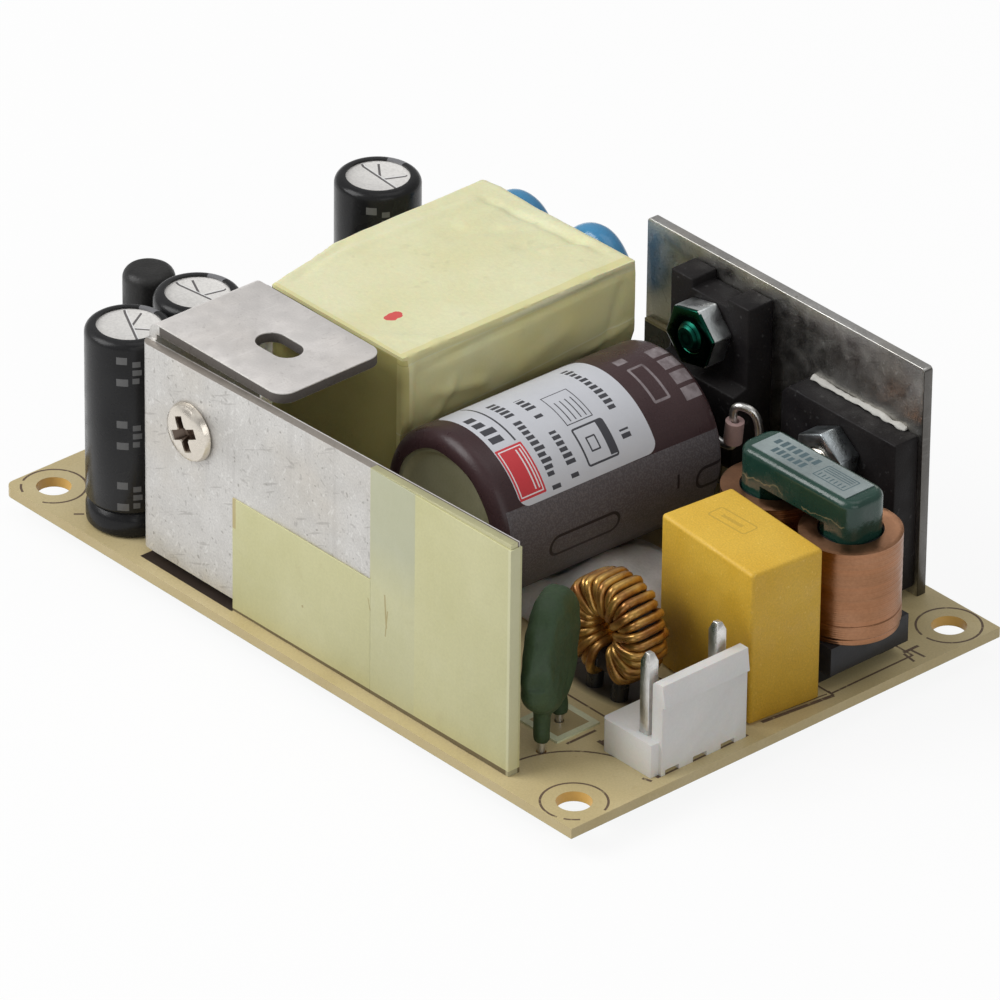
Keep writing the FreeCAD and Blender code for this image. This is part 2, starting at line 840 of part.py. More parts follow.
def transformer_bobbin():
    half_window, half_width = window()
    tube_y, tube_z = tube_half()
    zc = top + core_centre_z
    reach = half_window - winding_gap / 2
    window_y = half_width - core_side_leg - winding_gap
    tube = box(core_x() - reach, core_x() + reach, transformer_y - tube_y, transformer_y + tube_y,
               zc - tube_z, zc + tube_z)
    parts = [tube]
    ceiling = top + tape_block_top - tape_wrap
    for side in (-1, 1):
        x0 = core_x() + side * reach
        x1 = x0 - side * bobbin_flange
        parts.append(box(min(x0, x1), max(x0, x1), transformer_y - window_y, transformer_y + window_y,
                         top + bobbin_rail_height - 0.4, ceiling))
    y0 = transformer_y - tape_block_width / 2 + 0.8
    y1 = transformer_y + tape_block_width / 2 - 0.8
    ends = [transformer_x - tape_block_length / 2, transformer_x + tape_block_length / 2 - bobbin_rail_width]
    parts.append(box(ends[0] + 1, ends[1] + 1, transformer_y - window_y, transformer_y + window_y,
                     top + bobbin_rail_height - 0.8, top + bobbin_rail_height))
    for x0 in ends:
        parts.append(box(x0, x0 + bobbin_rail_width, y0, y1, top, top + bobbin_rail_height))
    bobbin = fuse(parts)
    gap = winding_gap / 2
    bore = box(core_x() - reach - 1, core_x() + reach + 1, transformer_y - centre_leg / 2 - gap,
               transformer_y + centre_leg / 2 + gap, zc - core_thickness / 2 - gap, zc + core_thickness / 2 + gap)
    bobbin = bobbin.cut(bore)
    for x, y in transformer_pins():
        bobbin = bobbin.cut(square_rod(x, y, transformer_pin, top - 1, top + bobbin_rail_height - 0.6))
    return bobbin


def transformer_winding():
    half_window, half_width = window()
    tube_y, tube_z = tube_half()
    reach = half_window - winding_gap / 2 - bobbin_flange
    zc = top + core_centre_z
    outer_y = half_width - core_side_leg - winding_gap - winding_slack
    outer_z = tube_z + winding_rise
    outer = box(core_x() - reach, core_x() + reach, transformer_y - outer_y, transformer_y + outer_y,
                zc - outer_z, zc + outer_z)

    def long_edge(e):
        return abs(e.BoundBox.XLength - 2 * reach) < 0.01
    outer = outer.makeFillet(2.0, edges_at(outer, long_edge))
    return outer.cut(box(core_x() - reach - 1, core_x() + reach + 1, transformer_y - tube_y,
                         transformer_y + tube_y, zc - tube_z, zc + tube_z))


def transformer_pin_set():
    z1 = top + bobbin_rail_height - 0.6
    return Part.makeCompound([square_rod(x, y, transformer_pin, tail, z1) for x, y in transformer_pins()])


def along_bulk(shape):
    """Lays a shape made about +Z, middle at the origin, along the bulk capacitor's axis."""
    laid = shape.copy()
    laid.rotate(Vector(0, 0, 0), Vector(1, 0, 0), -90)
    laid.rotate(Vector(0, 0, 0), Vector(0, 0, 1), bulk_turn)
    laid.translate(Vector(bulk_x, bulk_y, top + bulk_z))
    return laid


def bulk_can():
    r = bulk_diameter / 2
    half = bulk_length / 2
    rim = bulk_rim * 0.7
    can = revolve([(0, 0, -half + sleeve_wall), (r - rim, 0, -half + sleeve_wall), (r, 0, -half + sleeve_wall + rim),
                   (r, 0, half - rim), (r - rim, 0, half - sleeve_wall), (r - bulk_rim, 0, half - sleeve_wall),
                   (r - bulk_rim, 0, half - bung_depth), (0, 0, half - bung_depth)])
    return along_bulk(can)


def bulk_sleeve():
    r = bulk_diameter / 2
    w = sleeve_wall
    half = bulk_length / 2
    rim = bulk_rim * 0.7
    lip = r - bulk_lip
    outer = [(lip, 0, -half), (r + w - rim, 0, -half), (r + w, 0, -half + rim), (r + w, 0, half - rim),
             (r + w - rim, 0, half), (lip, 0, half)]
    inner = [(lip, 0, half - w), (r - rim, 0, half - w), (r, 0, half - rim), (r, 0, -half + w + rim),
             (r - rim, 0, -half + w), (lip, 0, -half + w)]
    return along_bulk(revolve(outer + inner))


def bulk_bung():
    half = bulk_length / 2
    radius = bulk_diameter / 2 - bulk_rim - 0.02
    bung = Part.makeCylinder(radius, bung_depth - sleeve_wall - 0.1, Vector(0, 0, half - bung_depth))
    bung = along_bulk(bung)
    for start, angle in bulk_lead_starts():
        root = bulk_point(half - bung_depth, start, angle)
        bung = bung.cut(Part.makeCylinder(bulk_lead / 2, bung_depth + 1, root, bulk_axis()))
    return bung


def bulk_lead_starts():
    return [(bulk_pitch / 2, bulk_lead_angle), (bulk_pitch / 2, 180 + bulk_lead_angle)]


def point_list(vectors):
    return [(v.x, v.y, v.z) for v in vectors]


def bulk_leads():
    half = bulk_length / 2
    (near_x, near_y), (far_x, far_y) = bulk_feet()
    r, angle = bulk_lead_starts()[0]
    near = point_list([bulk_point(half - bung_depth + 0.1, r, angle), bulk_point(half + 1.0, r, angle),
                       bulk_point(half + 1.3, r + 3.4, 27), bulk_point(half + 2.0, r + 4.6, 30)])
    near += [(near_x - 0.25, near_y - 0.15, near[-1][2] - 1.0), (near_x, near_y, near[-1][2] - 2.4),
             (near_x, near_y, tail)]
    r, angle = bulk_lead_starts()[1]
    far = point_list([bulk_point(half - bung_depth + 0.1, r, angle), bulk_point(half + 1.6, r, angle)])
    far += [(far_x, far_y, far[-1][2] - 1.5), (far_x, far_y, tail)]
    return Part.makeCompound([wire(near, bulk_lead), wire(far, bulk_lead)])


def bulk_lead_sleeve():
    half = bulk_length / 2
    r, angle = bulk_lead_starts()[0]
    start = bulk_point(half + 1.0, r, angle)
    end = bulk_point(half + 1.3, r + 3.4, 27)
    way = end - start
    unit = way * (1 / way.Length)
    root = start + unit * 1.0
    length = way.Length - 1.3
    outer = Part.makeCylinder(bulk_lead / 2 + 0.45, length, root, unit)
    return outer.cut(Part.makeCylinder(bulk_lead / 2 + 0.05, length + 2, root - unit, unit))


def bulk_label():
    r = bulk_diameter / 2 + sleeve_wall
    z0 = -bulk_length / 2 + label_start
    ring = Part.makeCylinder(r + label_thickness, label_length, Vector(0, 0, z0), Vector(0, 0, 1),
                             label_high_angle - label_low_angle)
    ring = ring.cut(Part.makeCylinder(r, label_length + 2, Vector(0, 0, z0 - 1)))
    ring.rotate(Vector(0, 0, 0), Vector(0, 0, 1), -label_high_angle)
    return along_bulk(ring)


def sealant():
    """A smeared bead that fills the gap between the board and the lying capacitor."""
    base = Part.makeSphere(1)
    scale = FreeCAD.Matrix()
    scale.scale(sealant_width / 2, sealant_length / 2, sealant_height)
    bead = base.transformGeometry(scale)
    bead.translate(Vector(sealant_x, sealant_y, top))
    bead = bead.common(box(sealant_x - sealant_width, sealant_x + sealant_width,
                           sealant_y - sealant_length, sealant_y + sealant_length, top, top + 20))
    half = bulk_length / 2 + 3
    void = Part.makeCylinder(bulk_diameter / 2 + sleeve_wall + sealant_gap, 2 * half, Vector(0, 0, -half))
    return bead.cut(along_bulk(void))


def standing_profile(grow, z0, z1, cut_top, cut_bottom):
    r = capacitor_diameter / 2 - capacitor_wall + grow
    rim = capacitor_rim
    bead = z0 + capacitor_bead
    dip = capacitor_bead_depth
    return [(cut_bottom, 0, z0), (r - 0.4, 0, z0), (r, 0, z0 + 0.4), (r, 0, bead - dip), (r - dip, 0, bead),
            (r, 0, bead + dip), (r, 0, z1 - rim), (r - rim * 0.3, 0, z1 - rim * 0.3), (r - rim, 0, z1),
            (cut_top, 0, z1)]


def capacitor_can(x, y):
    z0 = top + capacitor_wall
    z1 = top + capacitor_height - capacitor_wall
    seat = z0 + capacitor_bung
    bore = capacitor_diameter / 2 - 1.2
    points = standing_profile(0, z0, z1, 0, bore)
    points += [(0, 0, seat), (bore, 0, seat)]
    can = revolve(points)
    can.translate(Vector(x, y, 0))
    return can


def capacitor_sleeve(x, y):
    z0 = top + capacitor_wall
    z1 = top + capacitor_height - capacitor_wall
    w = capacitor_wall
    lip = capacitor_diameter / 2 - capacitor_rim - 0.25
    outer = standing_profile(w, z0 - w, z1 + w, lip, lip)
    outer[3:6] = [(p[0], 0, p[2] + w) for p in outer[3:6]]
    inner = standing_profile(0, z0, z1, lip, lip)
    sleeve = revolve(outer + inner[::-1])
    sleeve.translate(Vector(x, y, 0))
    return sleeve


def capacitor_bung_piece(x, y):
    z0 = top + capacitor_wall
    bung = cylinder(x, y, z0, capacitor_diameter - 2.44, capacitor_bung)
    for spot in pair(x, y, capacitor_pitch):
        bung = bung.cut(cylinder(spot[0], spot[1], z0 - 1, capacitor_lead, capacitor_bung + 2))
    return bung


def capacitor_set(maker):
    return Part.makeCompound([maker(x, y) for x, y in capacitor_spots])


def capacitor_leads():
    z1 = top + capacitor_wall + capacitor_bung
    leads = []
    for x, y in capacitor_spots:
        leads += [cylinder(a, b, tail, capacitor_lead, z1 - tail) for a, b in pair(x, y, capacitor_pitch)]
    return Part.makeCompound(leads)


def rod_choke():
    r = rod_diameter / 2
    d = rod_dome
    body = revolve([(0, 0, top), (r, 0, top), (r, 0, top + rod_height - d),
                    (r - 0.3 * d, 0, top + rod_height - 0.35 * d), (r - 1.1 * d, 0, top + rod_height),
                    (0, 0, top + rod_height)])
    body.translate(Vector(rod_x, rod_y, 0))
    for x, y in pair(rod_x, rod_y, rod_pitch, 90):
        body = body.cut(cylinder(x, y, top - 1, capacitor_lead, 3))
    return body


def rod_choke_leads():
    spots = pair(rod_x, rod_y, rod_pitch, 90)
    return Part.makeCompound([cylinder(x, y, tail, capacitor_lead, top + 2 - tail) for x, y in spots])


def lens(x, y, z, diameter, thickness):
    """A dipped disc with its axis along Y and a rounded rim."""
    body = cylinder(x, y - thickness / 2, z, diameter, thickness, Vector(0, 1, 0))
    rims = [e for e in body.Edges if e.BoundBox.YLength < 0.01]
    return body.makeFillet(0.47 * thickness, rims)


def safety_capacitors():
    discs = []
    for x, z in disc_spots:
        disc = lens(x, disc_y, top + z, disc_diameter, disc_thickness)
        for side in (-1, 1):
            lead_x = x + side * disc_pitch / 2
            disc = disc.cut(cylinder(lead_x, disc_y, top, disc_lead, z - disc_diameter / 4))
        discs.append(disc)
    return Part.makeCompound(discs)


def safety_capacitor_leads():
    leads = []
    for x, z in disc_spots:
        for a, b in pair(x, disc_y, disc_pitch):
            leads.append(cylinder(a, b, tail, disc_lead, top + z - disc_diameter / 4 - tail))
    return Part.makeCompound(leads)


def thermistor_lead_end():
    return thermistor_z - thermistor_diameter / 4


def thermistor_disc():
    disc = lens(0, 0, top + thermistor_z, thermistor_diameter, thermistor_thickness)
    neck = []
    for side in (-1, 1):
        x = side * thermistor_pitch / 2
        neck.append(cylinder(x, 0, top + 1.0, thermistor_lead + 0.7, thermistor_lead_end() - 1.4))
    disc = fuse([disc] + neck)
    for side in (-1, 1):
        x = side * thermistor_pitch / 2
        disc = disc.cut(cylinder(x, 0, top, thermistor_lead, thermistor_lead_end()))
    return turned(disc, thermistor_x, thermistor_y, thermistor_turn)


def thermistor_leads():
    z1 = top + thermistor_lead_end()
    return Part.makeCompound([cylinder(x, y, tail, thermistor_lead, z1 - tail) for x, y in thermistor_feet()])


def thermistor_film():
    half = film_size / 2
    x, y = thermistor_feet()[1]
    sheet = box(-half, half, -half, half, top, top + film_thickness)
    sheet = sheet.cut(cylinder(0, 0, 0, thermistor_lead + 2 * lead_clearance, 5))
    return turned(sheet, x, y, 0)


def toroid_core():
    ring = cylinder(toroid_x, toroid_y - toroid_core_width / 2, top + toroid_z, toroid_core_outer,
                    toroid_core_width, Vector(0, 1, 0))
    bore = cylinder(toroid_x, toroid_y - toroid_core_width, top + toroid_z, toroid_core_inner,
                    2 * toroid_core_width, Vector(0, 1, 0))
    return ring.cut(bore)


def toroid_turn_points():
    """Radius and height of each corner of two neighbouring turns, the second banked over the first."""
    half = toroid_core_width / 2 + toroid_layer_gap
    w = toroid_wire
    outer = toroid_core_outer / 2 + toroid_layer_gap + w / 2
    near = toroid_core_inner / 2 - toroid_layer_gap - w / 2
    deep = near - w
    low = half + w / 2
    high = half + 1.5 * w
    spread = outer - 0.3 * w
    first = [(outer, -low * 0.6), (outer, low * 0.6), (spread, low), (near + 0.2 * w, low), (near, low * 0.6),
             (near, -low * 0.6), (near + 0.2 * w, -low), (spread, -low)]
    second = [(outer, -low * 0.6), (outer, low * 0.6), (spread - 0.3 * w, low + 0.2 * w), (deep + 0.5 * w, high),
              (deep, low), (deep, -low), (deep + 0.5 * w, -high), (spread - 0.3 * w, -low - 0.2 * w)]
    return first, second


def toroid_route():
    """Middle of the wire and the direction beside it at each corner, from one lead's tip to the other's."""
    step = math.radians((360 - 2 * toroid_lead_angle) / toroid_turns)
    start = math.radians(toroid_lead_angle - 90)
    polar = []
    for turn in range(toroid_turns):
        for i, (radius, height) in enumerate(toroid_turn_points()[turn % 2]):
            polar.append((radius, height, start + step * (turn + (0 if i < 7 else 0.5))))
    polar.append((polar[0][0], polar[0][1], start + step * toroid_turns))
    route = []
    for radius, height, angle in polar:
        middle = Vector(toroid_x + radius * math.cos(angle), toroid_y + height,
                        top + toroid_z + radius * math.sin(angle))
        route.append((middle, Vector(-math.sin(angle), 0, math.cos(angle))))
    far, near = toroid_feet()
    return [(Vector(*near, tail), Vector(1, 0, 0))] + route + [(Vector(*far, tail), Vector(1, 0, 0))]


def toroid_section(middle, side, along):
    """Hexagon across the wire."""
    third = along.cross(side)
    third.normalize()
    corners = []
    for i in range(7):
        a = math.radians(60 * i)
        corners.append(middle + (side * math.cos(a) + third * math.sin(a)) * (toroid_wire / 2))
    return Part.makePolygon(corners)


def toroid_winding():
    """One wire that goes round the core turn after turn, banked in two layers in the bore."""
    route = toroid_route()
    sections = []
    for i, (middle, side) in enumerate(route):
        before = route[max(i - 1, 0)][0]
        after = route[min(i + 1, len(route) - 1)][0]
        sections.append(toroid_section(middle, side, (after - before).normalize()))
    return Part.makeLoft(sections, True, True)


def toroid_sleeves():
    radius = toroid_turn_points()[0][0][0]
    rise = toroid_z - radius * math.cos(math.radians(toroid_lead_angle)) - toroid_wire
    sleeves = []
    for x, y in toroid_feet():
        outer = cylinder(x, y, top, toroid_wire + 2 * toroid_sleeve_wall + 0.1, rise)
        sleeves.append(outer.cut(cylinder(x, y, top - 1, toroid_wire + 0.1, rise + 2)))
    return Part.makeCompound(sleeves)


def header_housing(side, edge_gap, y, pitch, count):
    """Base and latch wall of a friction lock header, made for the +X side and mirrored for -X."""
    edge = board_length / 2 - edge_gap
    length = pitch * (count - 1) + 2 * header_margin
    y0 = -length / 2
    base_x1 = edge - header_wall * 0.3
    base = box(base_x1 - header_base_width, base_x1, y0, -y0, top, top + header_base_height)

    def upright(e):
        return abs(e.BoundBox.ZLength - header_base_height) < 0.01 and e.CenterOfMass.x < base_x1 - 1
    base = base.makeFillet(0.5, edges_at(base, upright))
    wall_z1 = top + header_wall_height
    lip_z = wall_z1 - header_lip_height
    inner = edge - header_wall
    wall_y = y0 + header_wall_inset
    profile = [(inner, wall_y, top), (edge, wall_y, top), (edge, wall_y, lip_z),
               (edge + header_lip, wall_y, lip_z), (edge, wall_y, wall_z1), (inner + 0.3, wall_y, wall_z1),
               (inner, wall_y, wall_z1 - 0.3)]
    wall = prism(profile, (0, -y0 - wall_y, 0))
    housing = fuse([base, wall])
    for shift in (-0.3, 0.0, 0.3):
        middle = shift * length
        housing = housing.cut(box(edge - 0.6, edge + 2, middle - 0.8, middle + 0.8, top - 1, top + header_foot))
    housing.translate(Vector(0, y, 0))
    if side < 0:
        housing = housing.mirror(Vector(0, 0, 0), Vector(1, 0, 0))
    return housing


def cut_pins(housing, spots):
    for x, y in spots:
        housing = housing.cut(square_rod(x, y, header_pin, top - 1, top + header_base_height + 1))
    return housing


def inlet_housing():
    return cut_pins(header_housing(1, inlet_edge_gap, inlet_y, header_pitch, 2), inlet_feet())


def outlet_housing():
    housing = header_housing(-1, outlet_edge_gap, outlet_y, output_pitch, outlet_pin_count)
    return cut_pins(housing, outlet_feet())


def header_pin_piece(x, y):
    """Square pin with a tapered tip."""
    z1 = top + header_pin_height
    half = header_pin / 2
    loops = []
    for size, z in ((half, z1 - pin_tip), (half * 0.5, z1)):
        corners = [(-size, -size), (size, -size), (size, size), (-size, size), (-size, -size)]
        loops.append(Part.makePolygon([Vector(x + a, y + b, z) for a, b in corners]))
    return fuse([square_rod(x, y, header_pin, tail, z1 - pin_tip), Part.makeLoft(loops, True, True)])


def header_pins():
    return Part.makeCompound([header_pin_piece(x, y) for x, y in inlet_feet() + outlet_feet()])


def box_capacitor():
    half_x = box_capacitor_length / 2
    half_y = box_capacitor_width / 2
    z0 = top + box_capacitor_foot
    z1 = top + box_capacitor_height
    body = box(-half_x, half_x, -half_y, half_y, z0, z1)

    def shell_edge(e):
        return e.CenterOfMass.z > z0 + 0.1
    body = body.makeFillet(box_capacitor_edge, edges_at(body, shell_edge))
    feet = []
    for sx in (-1, 1):
        for sy in (-1, 1):
            x = sx * (half_x - 0.9)
            y = sy * (half_y - 0.9)
            feet.append(box(x - 0.5, x + 0.5, y - 0.5, y + 0.5, top, z0 + 0.3))
    body = fuse([body] + feet)
    for side in (-1, 1):
        body = body.cut(cylinder(side * box_capacitor_pitch / 2, 0, top - 1, box_capacitor_lead, 3))
    return turned(body, box_capacitor_x, box_capacitor_y, box_capacitor_turn)


def box_capacitor_leads():
    height = top + 2 - tail
    leads = [cylinder(x, y, tail, box_capacitor_lead, height) for x, y in box_capacitor_feet()]
    return Part.makeCompound(leads)


def choke_core():
    """Closed rectangular ferrite frame standing in the XZ plane, coated, with soft edges."""
    z0 = top + choke_core_bottom
    z1 = top + choke_core_top
    half = choke_leg / 2
    parts = [choke_post(x, half, z0, z1) for x in choke_legs()]
    for low in (z0, z1 - choke_yoke_height):
        parts.append(box(choke_x - choke_pitch / 2, choke_x + choke_pitch / 2, choke_y - half, choke_y + half,
                         low, low + choke_yoke_height))
    frame = fuse(parts)

    def rim(e):
        return abs(e.CenterOfMass.z - z1) < 0.01 and e.BoundBox.ZLength < 0.01
    return frame.makeFillet(choke_core_edge, edges_at(frame, rim))


def choke_post(x, half, z0, z1):
    """Upright post with rounded edges, for a leg of the core or the hole that takes it."""
    post = box(x - half, x + half, choke_y - half, choke_y + half, z0, z1)

    def upright(e):
        return e.BoundBox.ZLength > 0.5 * (z1 - z0)
    return post.makeFillet(choke_leg_edge, edges_at(post, upright))


def choke_legs():
    return [choke_x - choke_pitch / 2, choke_x + choke_pitch / 2]


def choke_windings():
    z0 = top + choke_winding_bottom
    height = choke_winding_top - choke_winding_bottom
    coils = []
    for x in choke_legs():
        coil = cylinder(x, choke_y, z0, choke_winding_outer, height)
        coils.append(coil.cut(cylinder(x, choke_y, z0 - 1, choke_tube, height + 2)))
    return Part.makeCompound(coils)


def choke_bobbin():
    """Tubes round the two legs on one base with feet and a channel for the core."""
    z0 = top + choke_winding_bottom
    height = choke_winding_top - choke_winding_bottom
    half_x = choke_pitch / 2 + choke_base_reach
    half_y = choke_base_width / 2
    parts = [box(choke_x - half_x, choke_x + half_x, choke_y - half_y, choke_y + half_y, top + choke_base_lift, z0)]
    for x in choke_legs():
        parts.append(cylinder(x, choke_y, z0, choke_tube - 0.04, height - choke_tube_drop))
    for x, y in choke_feet():
        w = choke_foot_width / 2
        parts.append(box(x - w, x + w, y - w * 0.8, y + w * 0.8, top, z0))
    bobbin = fuse(parts)
    gap = choke_tube_gap
    leg = choke_leg / 2 + gap
    for x in choke_legs():
        bobbin = bobbin.cut(choke_post(x, leg, top - 1, top + choke_core_top))
    reach = choke_pitch / 2 + leg
    channel = box(choke_x - reach, choke_x + reach, choke_y - leg, choke_y + leg, top - 1,
                  top + choke_core_bottom + choke_yoke_height + gap)
    bobbin = bobbin.cut(channel)
    for x, y in choke_feet():
        bobbin = bobbin.cut(square_rod(x, y, choke_pin, top - 1, top + 2))
    return bobbin


def choke_pins():
    return Part.makeCompound([square_rod(x, y, choke_pin, tail, top + 2) for x, y in choke_feet()])


def choke_sticker():
    half_x = choke_pitch / 2 + choke_leg / 2 - sticker_margin - choke_core_edge
    half_y = choke_leg / 2 - choke_core_edge
    z0 = top + choke_core_top
    return box(choke_x - half_x, choke_x + half_x, choke_y - half_y, choke_y + half_y, z0, z0 + sticker_thickness)


def fuse_body():
    half_x = fuse_length / 2
    half_y = fuse_width / 2
    body = box(fuse_x - half_x, fuse_x + half_x, fuse_y - half_y, fuse_y + half_y, top, top + fuse_height)

    def shell_edge(e):
        return e.CenterOfMass.z > top + 0.1
    body = body.makeFillet(0.4, edges_at(body, shell_edge))
    for x, y in pair(fuse_x, fuse_y, fuse_pitch):
        body = body.cut(cylinder(x, y, top - 1, fuse_lead, 3))
    return body


def fuse_leads():
    spots = pair(fuse_x, fuse_y, fuse_pitch)
    return Part.makeCompound([cylinder(x, y, tail, fuse_lead, top + 2 - tail) for x, y in spots])


def coupler_body():
    z0 = top + coupler_lift
    z1 = z0 + coupler_height
    half_x = coupler_length / 2
    half_y = coupler_width / 2
    body = box(coupler_x - half_x, coupler_x + half_x, coupler_y - half_y, coupler_y + half_y, z0, z1)

    def upper(e):
        return abs(e.CenterOfMass.z - z1) < 0.01
    return body.makeChamfer(0.4, edges_at(body, upper))


def coupler_leads():
    middle = top + coupler_lift + coupler_height / 2
    leads = []
    for x, y in coupler_feet():
        side = 1 if x > coupler_x else -1
        root = coupler_x + side * coupler_length / 2
        outer = x + side * coupler_lead / 2
        arm = box(min(root, outer), max(root, outer), y - coupler_lead / 2, y + coupler_lead / 2,
                  middle - coupler_lead / 2, middle + coupler_lead / 2)
        leads.append(fuse([arm, square_rod(x, y, coupler_lead, tail, middle)]))
    return Part.makeCompound(leads)


def controller_chip():
    """Eight lead surface chip under the board with its gull wing leads."""
    half_x = controller_length / 2
    half_y = controller_width / 2
    body = box(controller_x - half_x, controller_x + half_x, controller_y - half_y, controller_y + half_y,
               -0.1 - controller_height, -0.1)
    leads = []
    for side in (-1, 1):
        for x, y in row(controller_x, controller_y, controller_pitch, 4):
            a = y + side * half_y
            b = y + side * controller_lead_span / 2
            w = controller_lead / 2
            middle = -0.1 - controller_height / 2
            leads.append(box(x - w, x + w, min(a, a + side * 0.5), max(a, a + side * 0.5), middle, middle + 0.2))
            leads.append(box(x - w, x + w, min(a + side * 0.3, a + side * 0.5), max(a + side * 0.3, a + side * 0.5),
                             middle, 0))
            leads.append(box(x - w, x + w, min(a + side * 0.3, b), max(a + side * 0.3, b), -0.2, 0))
    return fuse([body] + leads)


def chip_parts():
    chips = []
    for x, y in chip_spots:
        chips.append(box(x - chip_length / 2, x + chip_length / 2, y - chip_width / 2, y + chip_width / 2,
                         -chip_height, 0))
    return Part.makeCompound(chips)


nodes = {
    "circuit_board": circuit_board,
    "solder_joints": solder_joints,
    "bent_heat_sink": bent_heat_sink,
    "flat_heat_sink": flat_heat_sink,
    "lower_tape": lower_tape,
    "end_tape": end_tape,
    "short_screw": short_screws,
    "long_screws": long_screws,
    "nuts": nuts,
    "rectifier_pad": rectifier_pad_sheet,
    "rectifier_frame": rectifier_frame,
    "rectifier_body": rectifier_body,
    "transistor_body": transistor_body,
    "transistor_leads": transistor_leads,
    "bridge_body": bridge_body,
    "bridge_leads": bridge_leads,
    "heat_paste": heat_paste,
    "insulator_sheet": insulator_sheet,
    "transformer_tape": transformer_tape,
    "transformer_cores": transformer_cores,
    "transformer_bobbin": transformer_bobbin,
    "transformer_winding": transformer_winding,
    "transformer_pins": transformer_pin_set,
    "bulk_can": bulk_can,
    "bulk_sleeve": bulk_sleeve,
    "bulk_bung": bulk_bung,
    "bulk_leads": bulk_leads,
    "bulk_lead_sleeve": bulk_lead_sleeve,
    "bulk_label": bulk_label,
    "sealant": sealant,
    "capacitor_cans": lambda: capacitor_set(capacitor_can),
    "capacitor_sleeves": lambda: capacitor_set(capacitor_sleeve),
    "capacitor_bungs": lambda: capacitor_set(capacitor_bung_piece),
    "capacitor_leads": capacitor_leads,
    "rod_choke": rod_choke,
    "rod_choke_leads": rod_choke_leads,
    "safety_capacitors": safety_capacitors,
    "safety_capacitor_leads": safety_capacitor_leads,
    "thermistor_disc": thermistor_disc,
    "thermistor_leads": thermistor_leads,
    "thermistor_film": thermistor_film,
    "toroid_core": toroid_core,
    "toroid_winding": toroid_winding,
    "toroid_sleeves": toroid_sleeves,
    "inlet_housing": inlet_housing,
    "outlet_housing": outlet_housing,
    "header_pins": header_pins,
    "box_capacitor": box_capacitor,
    "box_capacitor_leads": box_capacitor_leads,
    "choke_core": choke_core,
    "choke_windings": choke_windings,
    "choke_bobbin": choke_bobbin,
    "choke_pins": choke_pins,
    "choke_sticker": choke_sticker,
    "fuse_body": fuse_body,
    "fuse_leads": fuse_leads,
    "coupler_body": coupler_body,
    "coupler_leads": coupler_leads,
    "controller_chip": controller_chip,
    "chip_parts": chip_parts,
}

os.makedirs("parts", exist_ok=True)
for name, maker in nodes.items():
    maker().exportStep("parts/" + name + ".step")
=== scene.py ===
import math
import random

import bmesh
import bpy
from mathutils import Matrix, Vector, noise


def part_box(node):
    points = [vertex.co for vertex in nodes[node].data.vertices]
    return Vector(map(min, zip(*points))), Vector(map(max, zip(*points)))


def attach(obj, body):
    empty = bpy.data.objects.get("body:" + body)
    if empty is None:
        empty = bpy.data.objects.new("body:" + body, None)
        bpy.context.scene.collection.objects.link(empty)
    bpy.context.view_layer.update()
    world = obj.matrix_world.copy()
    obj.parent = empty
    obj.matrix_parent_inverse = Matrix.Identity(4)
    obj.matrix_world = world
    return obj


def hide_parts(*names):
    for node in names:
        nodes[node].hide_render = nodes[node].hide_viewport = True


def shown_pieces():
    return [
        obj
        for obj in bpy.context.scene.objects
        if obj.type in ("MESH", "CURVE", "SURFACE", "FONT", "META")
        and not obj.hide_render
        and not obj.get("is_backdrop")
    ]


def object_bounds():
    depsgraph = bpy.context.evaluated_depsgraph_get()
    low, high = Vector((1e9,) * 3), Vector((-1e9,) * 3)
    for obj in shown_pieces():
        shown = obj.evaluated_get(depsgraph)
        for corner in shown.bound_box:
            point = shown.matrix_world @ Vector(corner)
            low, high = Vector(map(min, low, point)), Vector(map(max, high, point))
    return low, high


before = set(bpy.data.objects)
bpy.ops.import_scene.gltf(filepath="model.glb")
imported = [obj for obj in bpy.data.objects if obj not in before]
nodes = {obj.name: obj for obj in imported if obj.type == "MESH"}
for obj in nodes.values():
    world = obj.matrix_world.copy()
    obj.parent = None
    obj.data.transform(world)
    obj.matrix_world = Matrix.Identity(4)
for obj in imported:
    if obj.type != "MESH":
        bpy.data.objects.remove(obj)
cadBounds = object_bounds()
mm = 0.001
print("frame loaded:", len(nodes), "nodes")


# helpers for shader trees

def plug(tree, socket, value):
    if isinstance(value, bpy.types.NodeSocket):
        tree.links.new(value, socket)
    elif isinstance(value, tuple) and len(value) == 3 and socket.type == "RGBA":
        socket.default_value = (*value, 1.0)
    else:
        socket.default_value = value


def addNode(tree, kind, inputs=None, **settings):
    node = tree.nodes.new("ShaderNode" + kind)
    for key, value in settings.items():
        setattr(node, key, value)
    for key, value in (inputs or {}).items():
        plug(tree, node.inputs[key], value)
    return node


def calc(tree, operation, a, b=0.0, c=0.0):
    node = addNode(tree, "Math", operation=operation)
    for socket, value in zip(node.inputs, (a, b, c)):
        plug(tree, socket, value)
    return node.outputs[0]


def spread(tree, value, low, high, toLow=0.0, toHigh=1.0):
    return addNode(tree, "MapRange", {"Value": value, "From Min": low, "From Max": high,
                                      "To Min": toLow, "To Max": toHigh}).outputs[0]


def cloud(tree, spot, perMm, detail=3.0, stretch=None):
    if stretch:
        spot = addNode(tree, "Mapping", {"Vector": spot, "Scale": stretch}).outputs[0]
    return addNode(tree, "TexNoise", {"Vector": spot, "Scale": perMm * 1000, "Detail": detail}).outputs[0]


def mixColour(tree, factor, a, b):
    node = addNode(tree, "Mix", data_type="RGBA")
    for socket, value in ((node.inputs[0], factor), (node.inputs[6], a), (node.inputs[7], b)):
        plug(tree, socket, value)
    return node.outputs[2]


